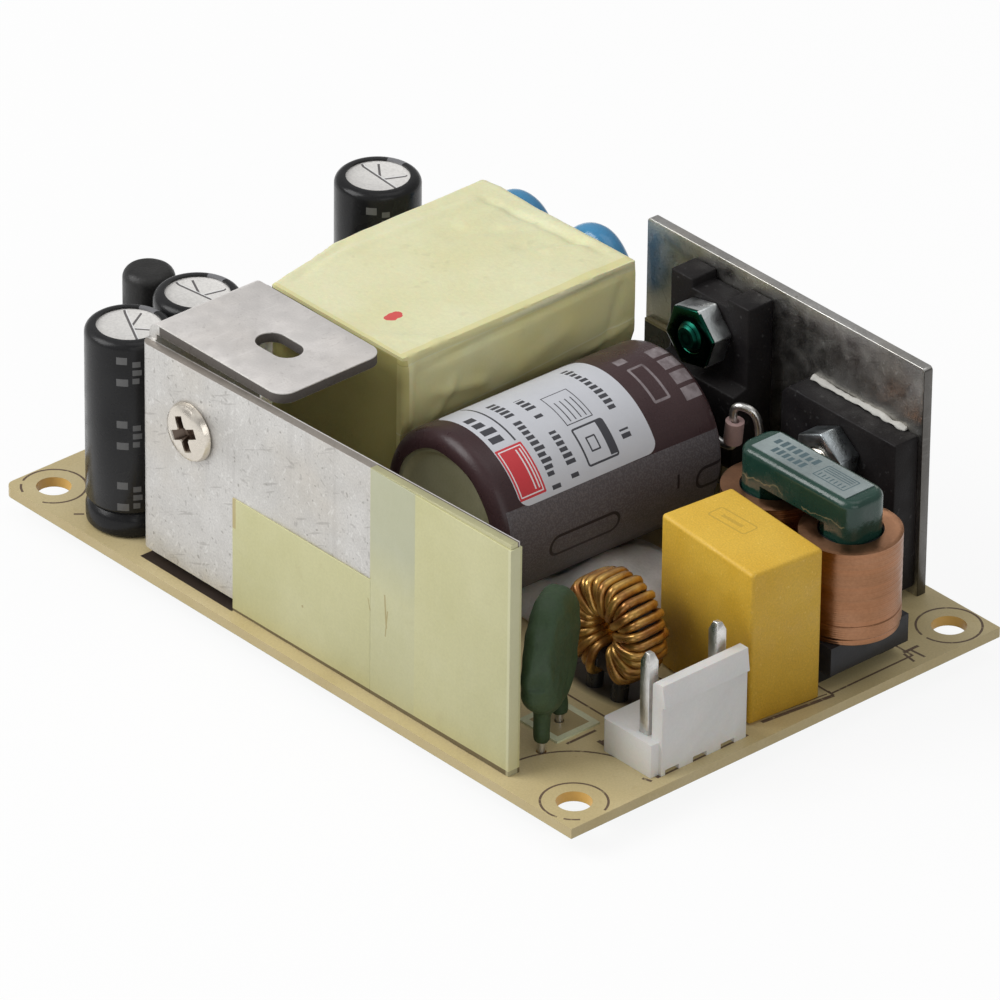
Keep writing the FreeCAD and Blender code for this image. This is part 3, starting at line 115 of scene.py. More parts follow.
# lays a colour over another where a mask holds, at a share of its strength
def tinted(tree, colour, mask, share, over):
    return mixColour(tree, calc(tree, "MULTIPLY", mask, share), colour, over)


def allOf(tree, *masks):
    total = masks[0]
    for mask in masks[1:]:
        total = calc(tree, "MULTIPLY", total, mask)
    return total


def anyOf(tree, *masks):
    total = masks[0]
    for mask in masks[1:]:
        total = calc(tree, "MAXIMUM", total, mask)
    return total


def inMillimetres(tree, spot):
    scaled = addNode(tree, "VectorMath", {0: spot, "Scale": 1000.0}, operation="SCALE").outputs[0]
    return addNode(tree, "SeparateXYZ", {0: scaled}).outputs[:]


def between(tree, value, low, high):
    return calc(tree, "LESS_THAN", calc(tree, "ABSOLUTE", calc(tree, "SUBTRACT", value, (low + high) / 2)),
                (high - low) / 2)


# mask of a rectangle with round corners, or of its outline where a line width is given
def patch(tree, u, v, low, high, corner=0.0, line=0.0):
    reach = []
    for value, a, b in ((u, low[0], high[0]), (v, low[1], high[1])):
        middle = calc(tree, "ABSOLUTE", calc(tree, "SUBTRACT", value, (a + b) / 2))
        reach.append(calc(tree, "SUBTRACT", middle, (b - a) / 2 - corner))
    outside = calc(tree, "SQRT", calc(tree, "ADD", *[calc(tree, "POWER", calc(tree, "MAXIMUM", r, 0.0), 2.0)
                                                       for r in reach]))
    inside = calc(tree, "MINIMUM", calc(tree, "MAXIMUM", *reach), 0.0)
    away = calc(tree, "SUBTRACT", calc(tree, "ADD", outside, inside), corner)
    if line:
        return calc(tree, "LESS_THAN", calc(tree, "ABSOLUTE", calc(tree, "ADD", away, line / 2)), line / 2)
    return calc(tree, "LESS_THAN", away, 0.0)


def ringArc(tree, x, y, centre, radius, line, start=0.0, end=360.0):
    dx = calc(tree, "SUBTRACT", x, centre[0])
    dy = calc(tree, "SUBTRACT", y, centre[1])
    away = calc(tree, "SQRT", calc(tree, "ADD", calc(tree, "POWER", dx, 2.0), calc(tree, "POWER", dy, 2.0)))
    ring = calc(tree, "LESS_THAN", calc(tree, "ABSOLUTE", calc(tree, "SUBTRACT", away, radius)), line / 2)
    if end - start >= 360:
        return ring
    angle = calc(tree, "DEGREES", calc(tree, "ARCTAN2", dy, dx))
    turned = calc(tree, "FLOORED_MODULO", calc(tree, "SUBTRACT", angle, start), 360.0)
    return allOf(tree, ring, calc(tree, "LESS_THAN", turned, end - start))


def stroke(tree, x, y, a, b, line):
    ax, ay = a
    dx, dy = b[0] - ax, b[1] - ay
    length = math.hypot(dx, dy)
    px = calc(tree, "SUBTRACT", x, ax)
    py = calc(tree, "SUBTRACT", y, ay)
    along = calc(tree, "ADD", calc(tree, "MULTIPLY", px, dx / length),
                 calc(tree, "MULTIPLY", py, dy / length))
    side = calc(tree, "SUBTRACT", calc(tree, "MULTIPLY", py, dx / length),
                calc(tree, "MULTIPLY", px, dy / length))
    return allOf(tree, between(tree, along, 0.0, length), between(tree, side, -line / 2, line / 2))


# plain blocks of uneven height along v, with gaps as between words
def wordBlocks(tree, u, v, low, high, cell):
    step = calc(tree, "DIVIDE", calc(tree, "SUBTRACT", v, low[1]), cell)
    pick = addNode(tree, "TexWhiteNoise", {"W": calc(tree, "ADD", calc(tree, "FLOOR", step), low[0])},
                   noise_dimensions="1D").outputs[0]
    top = calc(tree, "ADD", low[0] + 0.62 * (high[0] - low[0]),
               calc(tree, "MULTIPLY", pick, 0.45 * (high[0] - low[0])))
    return allOf(tree, patch(tree, u, v, low, high), calc(tree, "LESS_THAN", calc(tree, "FRACT", step), 0.66),
                 calc(tree, "GREATER_THAN", pick, 0.14), calc(tree, "LESS_THAN", u, top))


# thin straight scratches in one direction, turned round X, Y and Z
def hairLines(tree, spot, turn, threshold=0.66, long=0.05):
    turned = addNode(tree, "Mapping",
                     {"Vector": spot, "Rotation": [math.radians(a) for a in turn]}).outputs[0]
    return spread(tree, cloud(tree, turned, 1.3, 2.0, (long, 1.0, 1.6)), threshold, threshold + 0.05)


materials = {}


def makeFinish(name, look, paint=None, relief=None):
    material = bpy.data.materials.new(name)
    material.use_nodes = True
    tree = material.node_tree
    shader = tree.nodes["Principled BSDF"]
    spot = addNode(tree, "TexCoord").outputs["Object"]
    big = cloud(tree, spot, look.get("patch", 0.15), 4.0, look.get("stretch"))
    fine = cloud(tree, spot, look.get("grain", 4.0), 3.0, look.get("stretch"))
    colour = mixColour(tree, spread(tree, big, 0.35, 0.65), look["base"], look["second"])
    if "fleck" in look:
        dots = cloud(tree, spot, look.get("fleckSize", 1.2), 2.0)
        colour = mixColour(tree, spread(tree, dots, 0.66, 0.74, 0.0, look.get("fleckShare", 0.6)), colour,
                           look["fleck"])
    shade = spread(tree, fine, 0.3, 0.7, 1 - look.get("mottle", 0.05), 1 + look.get("mottle", 0.05))
    colour = addNode(tree, "VectorMath", {0: colour, "Scale": shade}, operation="SCALE").outputs[0]
    rough = spread(tree, cloud(tree, spot, look.get("roughPatch", 0.6), 3.0, look.get("stretch")), 0.35,
                   0.65, *look["rough"])
    height = calc(tree, "ADD", calc(tree, "MULTIPLY", fine, look.get("grainDepth", 1.0)),
                  calc(tree, "MULTIPLY", big, look.get("waveDepth", 0.0)))
    if look.get("scratch"):
        lines = cloud(tree, spot, 1.0, 2.0, look.get("scratchWay", (0.08, 0.08, 3.0)))
        marks = spread(tree, lines, 0.6, 0.75, 0.0, look["scratch"])
        colour = mixColour(tree, marks, colour, look.get("scratchColour", (0.9, 0.9, 0.9)))
        height = calc(tree, "SUBTRACT", height, marks)
    if relief:
        height = calc(tree, "ADD", height, relief(tree, spot))
    if paint:
        colour, rough = paint(tree, spot, colour, rough)
    bump = addNode(tree, "Bump", {"Height": height, "Strength": look.get("bump", 0.2), "Distance": 0.0001})
    plug(tree, shader.inputs["Base Color"], colour)
    plug(tree, shader.inputs["Roughness"], rough)
    plug(tree, shader.inputs["Normal"], bump.outputs[0])
    for socket, value in look.get("shader", {}).items():
        shader.inputs[socket].default_value = value
    materials[name] = material
    return material


def metal(base, second, rough, **more):
    return dict({"base": base, "second": second, "rough": rough, "shader": {"Metallic": 1.0}}, **more)


# helpers for meshes

def mergedCopy(node):
    bm = bmesh.new()
    bm.from_mesh(nodes[node].data)
    bmesh.ops.remove_doubles(bm, verts=bm.verts, dist=2e-6)
    return bm


def islands(bm):
    left = set(bm.verts)
    groups = []
    while left:
        seed = left.pop()
        group, queue = [seed], [seed]
        while queue:
            for edge in queue.pop().link_edges:
                for vert in edge.verts:
                    if vert in left:
                        left.discard(vert)
                        group.append(vert)
                        queue.append(vert)
        groups.append(group)
    return groups


# lowest and highest corner of each separate solid of a node, sorted
def solidBoxes(node):
    bm = mergedCopy(node)
    found = []
    for group in islands(bm):
        found.append((Vector([min(v.co[i] for v in group) for i in range(3)]),
                      Vector([max(v.co[i] for v in group) for i in range(3)])))
    bm.free()
    return sorted(found, key=lambda pair: (round(pair[0].x, 5), round(pair[0].y, 5)))


def addPiece(name, bm, material, node, sharp=35, replaced=True):
    mesh = bpy.data.meshes.new(name)
    bm.to_mesh(mesh)
    bm.free()
    mesh.polygons.foreach_set("use_smooth", [True] * len(mesh.polygons))
    mesh.set_sharp_from_angle(angle=math.radians(sharp))
    piece = bpy.data.objects.new(name, mesh)
    bpy.context.scene.collection.objects.link(piece)
    mesh.materials.append(materials[material])
    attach(piece, "root")
    if replaced:
        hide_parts(node)
    return piece


def softEdges(name, node, material, width, segments=2, limit=25, sharp=35):
    bm = mergedCopy(node)
    for vert in bm.verts:
        vert.co.z = max(vert.co.z, tabEnd.get(name, -1.0))
    bmesh.ops.dissolve_limit(bm, angle_limit=math.radians(0.5), verts=bm.verts, edges=bm.edges)
    hard = [e for e in bm.edges if len(e.link_faces) == 2 and e.calc_face_angle(0.0) > math.radians(limit)]
    bmesh.ops.bevel(bm, geom=hard, offset=width * mm, offset_type="OFFSET", affect="EDGES", segments=segments,
                    profile=0.5, material=-1, clamp_overlap=True)
    return addPiece(name, bm, material, node, sharp)


# spins radius and height points in millimetres round Z; a closed profile gives a tube
def turnedProfile(points, steps=64):
    bm = bmesh.new()
    verts = [bm.verts.new((r * mm, 0, z * mm)) for r, z in points]
    edges = [bm.edges.new(pair) for pair in zip(verts[:-1], verts[1:])]
    if points[0][0] > 1e-6:
        edges.append(bm.edges.new((verts[-1], verts[0])))
    bmesh.ops.spin(bm, geom=verts + edges, cent=(0, 0, 0), axis=(0, 0, 1), angle=math.tau, steps=steps,
                   use_merge=True)
    bmesh.ops.remove_doubles(bm, verts=bm.verts, dist=1e-7)
    bmesh.ops.recalc_face_normals(bm, faces=bm.faces)
    return bm


# points of an arc, with angles in degrees
def arc(centre, radius, start, end, count):
    return [(centre[0] + radius * math.cos(math.radians(start + (end - start) * i / count)),
             centre[1] + radius * math.sin(math.radians(start + (end - start) * i / count)))
            for i in range(count + 1)]


def joined(parts):
    total = bmesh.new()
    for bm in parts:
        mesh = bpy.data.meshes.new("part")
        bm.to_mesh(mesh)
        bm.free()
        total.from_mesh(mesh)
        bpy.data.meshes.remove(mesh)
    return total


# an even, closed skin over a CAD node, for shapes that are then pushed about
def voxelCopy(node, size, smoothing=4):
    bm = mergedCopy(node)
    mesh = bpy.data.meshes.new("voxels")
    bm.to_mesh(mesh)
    bm.free()
    carrier = bpy.data.objects.new("voxels", mesh)
    bpy.context.scene.collection.objects.link(carrier)
    change = carrier.modifiers.new("voxels", "REMESH")
    change.mode = "VOXEL"
    change.voxel_size = size * mm
    ready = bpy.data.meshes.new_from_object(carrier.evaluated_get(bpy.context.evaluated_depsgraph_get()))
    out = bmesh.new()
    out.from_mesh(ready)
    bpy.data.objects.remove(carrier)
    bpy.data.meshes.remove(mesh)
    bpy.data.meshes.remove(ready)
    for _ in range(smoothing):
        bmesh.ops.smooth_vert(out, verts=out.verts, factor=0.5, use_axis_x=True, use_axis_y=True,
                              use_axis_z=True)
    return out


# moves each point along its normal by soft noise
def pushed(bm, amount, perMm, seed=0.0):
    bm.normal_update()
    shift = Vector((seed, seed * 0.7, -seed))
    for vert in bm.verts:
        vert.co += vert.normal * noise.noise(vert.co * perMm * 1000 + shift) * amount * mm
    return bm


# a round wire on a smooth curve through millimetre points
def tubeAlong(points, diameter, order=3, resolution=4, sides=2):
    curve = bpy.data.curves.new("way", "CURVE")
    curve.dimensions = "3D"
    curve.bevel_depth = diameter / 2 * mm
    curve.bevel_resolution = sides
    curve.use_fill_caps = True
    line = curve.splines.new("NURBS")
    line.points.add(len(points) - 1)
    for point, place in zip(line.points, points):
        point.co = (*[c * mm for c in place], 1.0)
    line.order_u = order
    line.use_endpoint_u = True
    line.resolution_u = resolution
    carrier = bpy.data.objects.new("way", curve)
    bpy.context.scene.collection.objects.link(carrier)
    ready = bpy.data.meshes.new_from_object(carrier.evaluated_get(bpy.context.evaluated_depsgraph_get()))
    bm = bmesh.new()
    bm.from_mesh(ready)
    bmesh.ops.remove_doubles(bm, verts=bm.verts, dist=1e-7)
    bmesh.ops.recalc_face_normals(bm, faces=bm.faces)
    bpy.data.objects.remove(carrier)
    bpy.data.curves.remove(curve)
    bpy.data.meshes.remove(ready)
    return bm


# camera and light

shot = {"azimuth": 47.98, "elevation": 30.76, "roll": 0.69, "distance": 1.0, "aim": (0.00026, 0.005755),
        "lens": 404.5}


def makeCamera():
    a, e, r = (math.radians(shot[key]) for key in ("azimuth", "elevation", "roll"))
    back = Vector((math.sin(a) * math.cos(e), -math.cos(a) * math.cos(e), math.sin(e)))
    flat = Vector((math.cos(a), math.sin(a), 0))
    high = back.cross(flat)
    right = flat * math.cos(r) + high * math.sin(r)
    above = high * math.cos(r) - flat * math.sin(r)
    data = bpy.data.cameras.new("camera")
    data.lens = shot["lens"]
    data.sensor_width = 36.0
    data.clip_start = 0.05
    camera = bpy.data.objects.new("camera", data)
    bpy.context.scene.collection.objects.link(camera)
    place = right * shot["aim"][0] + above * shot["aim"][1] + back * shot["distance"]
    camera.matrix_world = Matrix.Translation(place) @ Matrix((right, above, back)).transposed().to_4x4()
    bpy.context.scene.camera = camera


studio = {"worldStrength": 0.34, "worldShine": 0.42, "floorGlow": 0.9, "floorTone": 0.9, "floorBounce": 0.5,
          "lamps": [("key", (-0.42, -0.55, 0.62), 0.6, 6.4), ("top", (0.1, 0.2, 0.85), 0.6, 1.0),
                    ("side", (0.75, -0.25, 0.35), 0.5, 1.0)]}


def makeStudio():
    world = bpy.data.worlds.new("studio")
    bpy.context.scene.world = world
    world.use_nodes = True
    tree = world.node_tree
    tree.nodes.clear()
    path = addNode(tree, "LightPath")
    seen = anyOf(tree, path.outputs["Is Camera Ray"], path.outputs["Is Transmission Ray"])
    shine = calc(tree, "MULTIPLY", path.outputs["Is Glossy Ray"], studio["worldShine"])
    level = anyOf(tree, seen, shine, studio["worldStrength"])
    glow = addNode(tree, "Background", {"Color": (1.0, 1.0, 1.0), "Strength": level})
    addNode(tree, "OutputWorld", {"Surface": glow.outputs[0]})
    for name, place, size, power in studio["lamps"]:
        lamp = bpy.data.lights.new(name, "AREA")
        lamp.size = size
        lamp.energy = power
        holder = bpy.data.objects.new(name, lamp)
        bpy.context.scene.collection.objects.link(holder)
        holder.location = place
        holder.rotation_euler = (-Vector(place)).to_track_quat("-Z", "Y").to_euler()
    bm = bmesh.new()
    bmesh.ops.create_grid(bm, x_segments=1, y_segments=1, size=3.0,
                          matrix=Matrix.Translation((0, 0, cadBounds[0].z)))
    mesh = bpy.data.meshes.new("floor")
    bm.to_mesh(mesh)
    bm.free()
    floor = bpy.data.objects.new("floor", mesh)
    bpy.context.scene.collection.objects.link(floor)
    material = bpy.data.materials.new("floorWhite")
    material.use_nodes = True
    tree = material.node_tree
    tree.nodes.clear()
    path = addNode(tree, "LightPath")
    seen = anyOf(tree, path.outputs["Is Camera Ray"], path.outputs["Is Glossy Ray"],
                 path.outputs["Is Transmission Ray"])
    tone, bounce = studio["floorTone"], studio["floorBounce"]
    shade = mixColour(tree, seen, (bounce, bounce, bounce), (tone, tone, tone))
    plain = addNode(tree, "BsdfDiffuse", {"Color": shade})
    white = addNode(tree, "Emission", {"Color": (1.0, 1.0, 1.0), "Strength": 1.0})
    both = addNode(tree, "MixShader", {0: allOf(tree, seen, studio["floorGlow"]), 1: plain.outputs[0],
                                       2: white.outputs[0]})
    addNode(tree, "OutputMaterial", {"Surface": both.outputs[0]})
    mesh.materials.append(material)
    floor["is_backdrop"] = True


makeCamera()
makeStudio()
bpy.context.scene.view_settings.view_transform = "Standard"
print("camera, lamps and floor")


# finishes

holeAt = (34.925, 22.225)
# in millimetres; each hole has the first and last degree of its ring, and each stroke its width
boardMarks = {
    "line": 0.22, "ring": 2.95, "ink": (0.13, 0.085, 0.055), "top": 0.95, "faces": (0.015, 0.985),
    "inside": (37.9, 25.2), "edgeColour": (0.50, 0.38, 0.17), "boreColour": (0.78, 0.47, 0.11),
    "underColours": ((0.10, 0.30, 0.10), (0.17, 0.24, 0.08)),
    "holes": [(holeAt[0], -holeAt[1], 20, 288), (holeAt[0], holeAt[1], -60, 262),
              (-holeAt[0], -holeAt[1], -60, 210), (-holeAt[0], holeAt[1], 20, 290)],
    "cornerArc": (8.1, 96, 178), "capacitorRings": [(-26.7, -12.2), (-32.3, 14.0)], "capacitorRing": 4.25,
    "footGapShade": ((-20.6, -24.15), (-8.1, -22.6)), "footGapShadeColour": (0.018, 0.01, 0.013),
    "toroidShadeColour": (0.012, 0.009, 0.009),
    "outlines": [((29.2, -14.15), (36.9, -3.6)), ((19.0, 6.4), (36.6, 16.4)), ((18.2, -11.1), (28.6, -3.0)),
                 ((-38.0, -7.0), (-30.6, 9.0))],
    "strokes": [((27.6, -16.5), (27.6, -13.1), 0.3), ((29.0, -14.1), (36.9, -14.1), 0.42),
                ((36.0, -1.3), (36.85, 6.5), 0.42), ((36.85, 6.5), (36.0, 6.6), 0.22),
                ((35.5, -0.9), (36.3, 6.2), 0.16),
                ((36.0, -15.3), (36.9, -15.0), 0.3), ((35.65, 16.0), (35.65, 17.8), 0.34),
                ((35.7, 16.8), (37.4, 16.95), 0.26), ((35.8, 15.9), (37.35, 15.7), 0.26),
                ((-30.0, -24.0), (-29.4, -23.3), 0.26)]}


def paintBoard(tree, spot, colour, rough):
    x, y, z = inMillimetres(tree, spot)
    line = boardMarks["line"]
    marks = []
    for hx, hy, start, end in boardMarks["holes"]:
        marks.append(ringArc(tree, x, y, (hx, hy), boardMarks["ring"], line, start, end))
        marks.append(ringArc(tree, x, y, (hx, hy), boardMarks["ring"], line, end + 12, end + 40))
    reach, start, end = boardMarks["cornerArc"]
    marks.append(ringArc(tree, x, y, (holeAt[0], -holeAt[1]), reach, line, start, end))
    for low, high in boardMarks["outlines"]:
        marks.append(patch(tree, x, y, low, high, 0.0, line))
    for a, b, width in boardMarks["strokes"]:
        marks.append(stroke(tree, x, y, a, b, width))
    for centre in boardMarks["capacitorRings"]:
        marks.append(ringArc(tree, x, y, centre, boardMarks["capacitorRing"], line))
    top = calc(tree, "GREATER_THAN", z, boardMarks["top"])
    ink = allOf(tree, anyOf(tree, *marks), top,
                spread(tree, cloud(tree, spot, 2.2, 2.0), 0.30, 0.40, 0.55, 1.0))
    lower, upper = boardMarks["faces"]
    insideX, insideY = boardMarks["inside"]
    edge = allOf(tree, calc(tree, "LESS_THAN", z, upper), calc(tree, "GREATER_THAN", z, lower))
    bore = allOf(tree, edge, calc(tree, "LESS_THAN", calc(tree, "ABSOLUTE", x), insideX),
                 calc(tree, "LESS_THAN", calc(tree, "ABSOLUTE", y), insideY))
    colour = tinted(tree, colour, edge, 0.35, boardMarks["edgeColour"])
    colour = tinted(tree, colour, bore, 0.95, boardMarks["boreColour"])
    colour = mixColour(tree, ink, colour, boardMarks["ink"])
    # painted shade: a near-black field on the board in the gap under the front sink's foot
    gap = allOf(tree, top, patch(tree, x, y, *boardMarks["footGapShade"]), 0.96)
    colour = mixColour(tree, gap, colour, boardMarks["footGapShadeColour"])
    # painted shade on the board round the toroid's foot
    low, high = [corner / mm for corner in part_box("toroid_winding")]
    far = [calc(tree, "DIVIDE", calc(tree, "SUBTRACT", value, middle), half)
           for value, middle, half in ((x, (low.x + high.x) / 2 - 1.0, (high.x - low.x) / 2 + 1.5),
                                       (y, (low.y + high.y) / 2 + 0.6, (high.y - low.y) / 2 + 0.4))]
    away = calc(tree, "ADD", calc(tree, "POWER", far[0], 2.0), calc(tree, "POWER", far[1], 2.0))
    stain = allOf(tree, spread(tree, away, 1.25, 0.6), top, 0.96)
    colour = mixColour(tree, stain, colour, boardMarks["toroidShadeColour"])
    under = calc(tree, "LESS_THAN", z, lower)
    tracks = addNode(tree, "TexVoronoi", {"Vector": spot, "Scale": 130.0, "Randomness": 0.7},
                     distance="CHEBYCHEV").outputs[0]
    greens = mixColour(tree, spread(tree, tracks, 0.30, 0.32), *boardMarks["underColours"])
    colour = mixColour(tree, under, colour, greens)
    return colour, mixColour(tree, ink, rough, (0.6, 0.6, 0.6))


# places in millimetres, and lines as turns round X, Y and Z with the noise level that they start at
sinkMarks = {
    "darkLines": [((0, 25, 10), 0.66), ((0, 100, 55), 0.65), ((0, 160, -40), 0.67)],
    "paleLines": [((0, 60, 30), 0.67), ((0, 130, 80), 0.65)],
    "plateBack": -22.95, "plateDepth": 0.75, "tapeFrom": 10.0, "flangeFrom": 23.0,
    "plateFace": -22.9, "shadedRimHeight": (23.42, 24.30), "rimFrom": (-19.6, -22.75),
    "stain": (0.60, 0.53, 0.42), "darkLine": (0.25, 0.23, 0.21), "paleLine": (0.92, 0.91, 0.89),
    "nick": (0.28, 0.26, 0.23), "endFaceShade": (0.06, 0.055, 0.05), "topEdgeShade": (0.30, 0.26, 0.22),
    "tapeInside": (0.10, 0.075, 0.055), "tapeEdge": (0.56, 0.54, 0.31), "flange": (1.0, 0.95, 0.92),
    "rim": (0.07, 0.055, 0.045)}


def paintSink(tree, spot, colour, rough):
    x, y, z = inMillimetres(tree, spot)
    stain = spread(tree, cloud(tree, spot, 0.09, 3.0), 0.50, 0.68, 0.0, 0.30)
    colour = mixColour(tree, stain, colour, sinkMarks["stain"])
    dark = anyOf(tree, *[hairLines(tree, spot, *line) for line in sinkMarks["darkLines"]])
    pale = anyOf(tree, *[hairLines(tree, spot, *line) for line in sinkMarks["paleLines"]])
    colour = tinted(tree, colour, dark, 0.32, sinkMarks["darkLine"])
    colour = tinted(tree, colour, pale, 0.30, sinkMarks["paleLine"])
    nicks = spread(tree, cloud(tree, spot, 1.8, 1.0), 0.71, 0.76, 0.0, 0.6)
    colour = mixColour(tree, nicks, colour, sinkMarks["nick"])
    # painted shade: the flange's thin edge band is darkened to near black and made rougher
    rimX, rimY = sinkMarks["rimFrom"]
    rim = allOf(tree, between(tree, z, *sinkMarks["shadedRimHeight"]), calc(tree, "GREATER_THAN", y, rimY),
                calc(tree, "LESS_THAN", y, 0.0), calc(tree, "GREATER_THAN", x, rimX))
    # painted shade: the flat sink's thin end face is darkened to near black
    endFaceShade = allOf(tree, calc(tree, "GREATER_THAN", x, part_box("flat_heat_sink")[1].x / mm - 0.08),
                   calc(tree, "GREATER_THAN", y, 0.0))
    colour = tinted(tree, colour, endFaceShade, 0.85, sinkMarks["endFaceShade"])
    # height part of the surface's normal, times a thousand
    facing = inMillimetres(tree, addNode(tree, "NewGeometry").outputs[1])[2]
    upper = allOf(tree, calc(tree, "GREATER_THAN", facing, 700.0), calc(tree, "LESS_THAN", y, 0.0))
    # painted shade: the front plate's thin upward-facing top edge is darkened
    topEdgeShadeMask = allOf(tree, upper, calc(tree, "LESS_THAN", y, sinkMarks["plateBack"]))
    colour = tinted(tree, colour, topEdgeShadeMask, 0.8, sinkMarks["topEdgeShade"])
    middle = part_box("bent_heat_sink")[0].y / mm + sinkMarks["plateDepth"]
    wrapped = calc(tree, "GREATER_THAN", x, sinkMarks["tapeFrom"])
    inner = allOf(tree, calc(tree, "GREATER_THAN", facing, 150.0), wrapped,
                  calc(tree, "LESS_THAN", y, sinkMarks["plateFace"]), calc(tree, "GREATER_THAN", y, middle))
    colour = tinted(tree, colour, inner, 0.8, sinkMarks["tapeInside"])
    taped = allOf(tree, wrapped, calc(tree, "LESS_THAN", y, middle))
    colour = tinted(tree, colour, taped, 0.92, sinkMarks["tapeEdge"])
    # painted light: the flange's upward-facing top is tinted towards white
    flange = allOf(tree, upper, calc(tree, "GREATER_THAN", z, sinkMarks["flangeFrom"]),
                   calc(tree, "GREATER_THAN", y, sinkMarks["plateBack"]))
    colour = tinted(tree, colour, flange, 0.6, sinkMarks["flange"])
    colour = tinted(tree, colour, rim, 0.85, sinkMarks["rim"])
    return colour, anyOf(tree, rough, calc(tree, "MULTIPLY", rim, 0.8))


tapeMarks = {
    "creases": [((15.6, 3.0), (16.1, 12.0), 0.14), ((15.9, 12.0), (15.7, 22.0), 0.10),
                ((22.6, 5.5), (24.0, 6.3), 0.22), ((23.4, 4.9), (24.4, 7.0), 0.16),
                ((22.0, 6.6), (23.6, 7.4), 0.14), ((12.0, 12.2), (12.5, 7.6), 0.30),
                ((11.6, 11.0), (13.2, 9.6), 0.18), ((18.6, 16.0), (19.0, 22.0), 0.12),
                ((-6.5, 9.0), (-7.6, 12.2), 0.14)],
    "spots": [((28.5, 13.4), (28.95, 15.0), 0.2), ((1.1, 5.6), (1.35, 5.85), 0.1)],
    "scratches": [((12.1, 11.9), (12.35, 8.6), 0.2), ((12.5, 10.4), (12.2, 7.7), 0.14),
                  ((9.9, 10.6), (10.2, 9.4), 0.1)],
    "strip": (10.15, 16.0), "stripTop": (11.9, 17.0), "shadeLineHeight": 1.3, "shadeLineSlope": 0.008,
    "tornFrom": (-7.75, 9.5), "rimFrom": (28.0, -22.9), "sheer": (0.45, 0.47, 0.36),
    "torn": (0.42, 0.30, 0.12), "spot": (0.34, 0.24, 0.08), "foot": (0.09, 0.055, 0.03),
    "rim": (0.74, 0.73, 0.50)}


def tapeRelief(tree, spot):
    x, _, z = inMillimetres(tree, spot)
    lines = [stroke(tree, x, z, *mark) for mark in tapeMarks["creases"]]
    ripple = cloud(tree, spot, 0.22, 2.0, (1.6, 1.0, 0.35))
    return calc(tree, "ADD", calc(tree, "MULTIPLY", anyOf(tree, *lines), 2.5),
                calc(tree, "MULTIPLY", ripple, 9.0))


def paintTape(tree, spot, colour, rough):
    x, y, z = inMillimetres(tree, spot)
    left, right = tapeMarks["strip"]
    sheer = allOf(tree, calc(tree, "LESS_THAN", x, right), calc(tree, "GREATER_THAN", x, left),
                  calc(tree, "LESS_THAN", y, -20.0), spread(tree, z, *tapeMarks["stripTop"], 0.25, 1.0))
    colour = tinted(tree, colour, sheer, 0.7, tapeMarks["sheer"])
    tornX, tornZ = tapeMarks["tornFrom"]
    torn = allOf(tree, calc(tree, "LESS_THAN", x, tornX), calc(tree, "GREATER_THAN", z, tornZ))
    colour = tinted(tree, colour, torn, 0.6, tapeMarks["torn"])
    spots = anyOf(tree, *[patch(tree, x, z, *mark) for mark in tapeMarks["spots"]],
                  *[stroke(tree, x, z, *mark) for mark in tapeMarks["scratches"]])
    colour = tinted(tree, colour, spots, 0.6, tapeMarks["spot"])
    # painted shade: a dark line along the tape's lower edge, standing for the gap and its shadow at the board
    shadeLineTop = calc(tree, "ADD", tapeMarks["shadeLineHeight"], calc(tree, "MULTIPLY", x, tapeMarks["shadeLineSlope"]))
    foot = calc(tree, "LESS_THAN", z, shadeLineTop)
    colour = tinted(tree, colour, foot, 0.85, tapeMarks["foot"])
    rimX, rimY = tapeMarks["rimFrom"]
    rim = allOf(tree, calc(tree, "GREATER_THAN", x, rimX), calc(tree, "LESS_THAN", y, rimY))
    return tinted(tree, colour, rim, 0.5, tapeMarks["rim"]), rough


# places in millimetres, and colours of the transformer's tape, with painted shade on its -Y and +X sides
wrapMarks = {
    "dotAt": (-10.0, -3.7), "dotSize": (0.62, 1.0), "dot": (0.72, 0.10, 0.09),
    "shadedNearSide": (0.45, 0.39, 0.11), "shadeBehindSink": (0.05, 0.043, 0.03), "sinkEnd": (-14.5, -16.5),
    "sinkTop": (16.0, 17.5), "brim": (0.72, 0.66, 0.25), "brimWide": 0.45, "brimDeep": 0.8,
    "sideShadingTone": (0.86, 0.79, 0.36), "seam": (15.15, 15.3), "seamSlope": 0.08,
    "seamPale": (0.93, 0.91, 0.66), "shadeBelowSeam": (0.52, 0.45, 0.14), "shadeTop": 21.0,
    "shade": (0.46, 0.41, 0.14)}


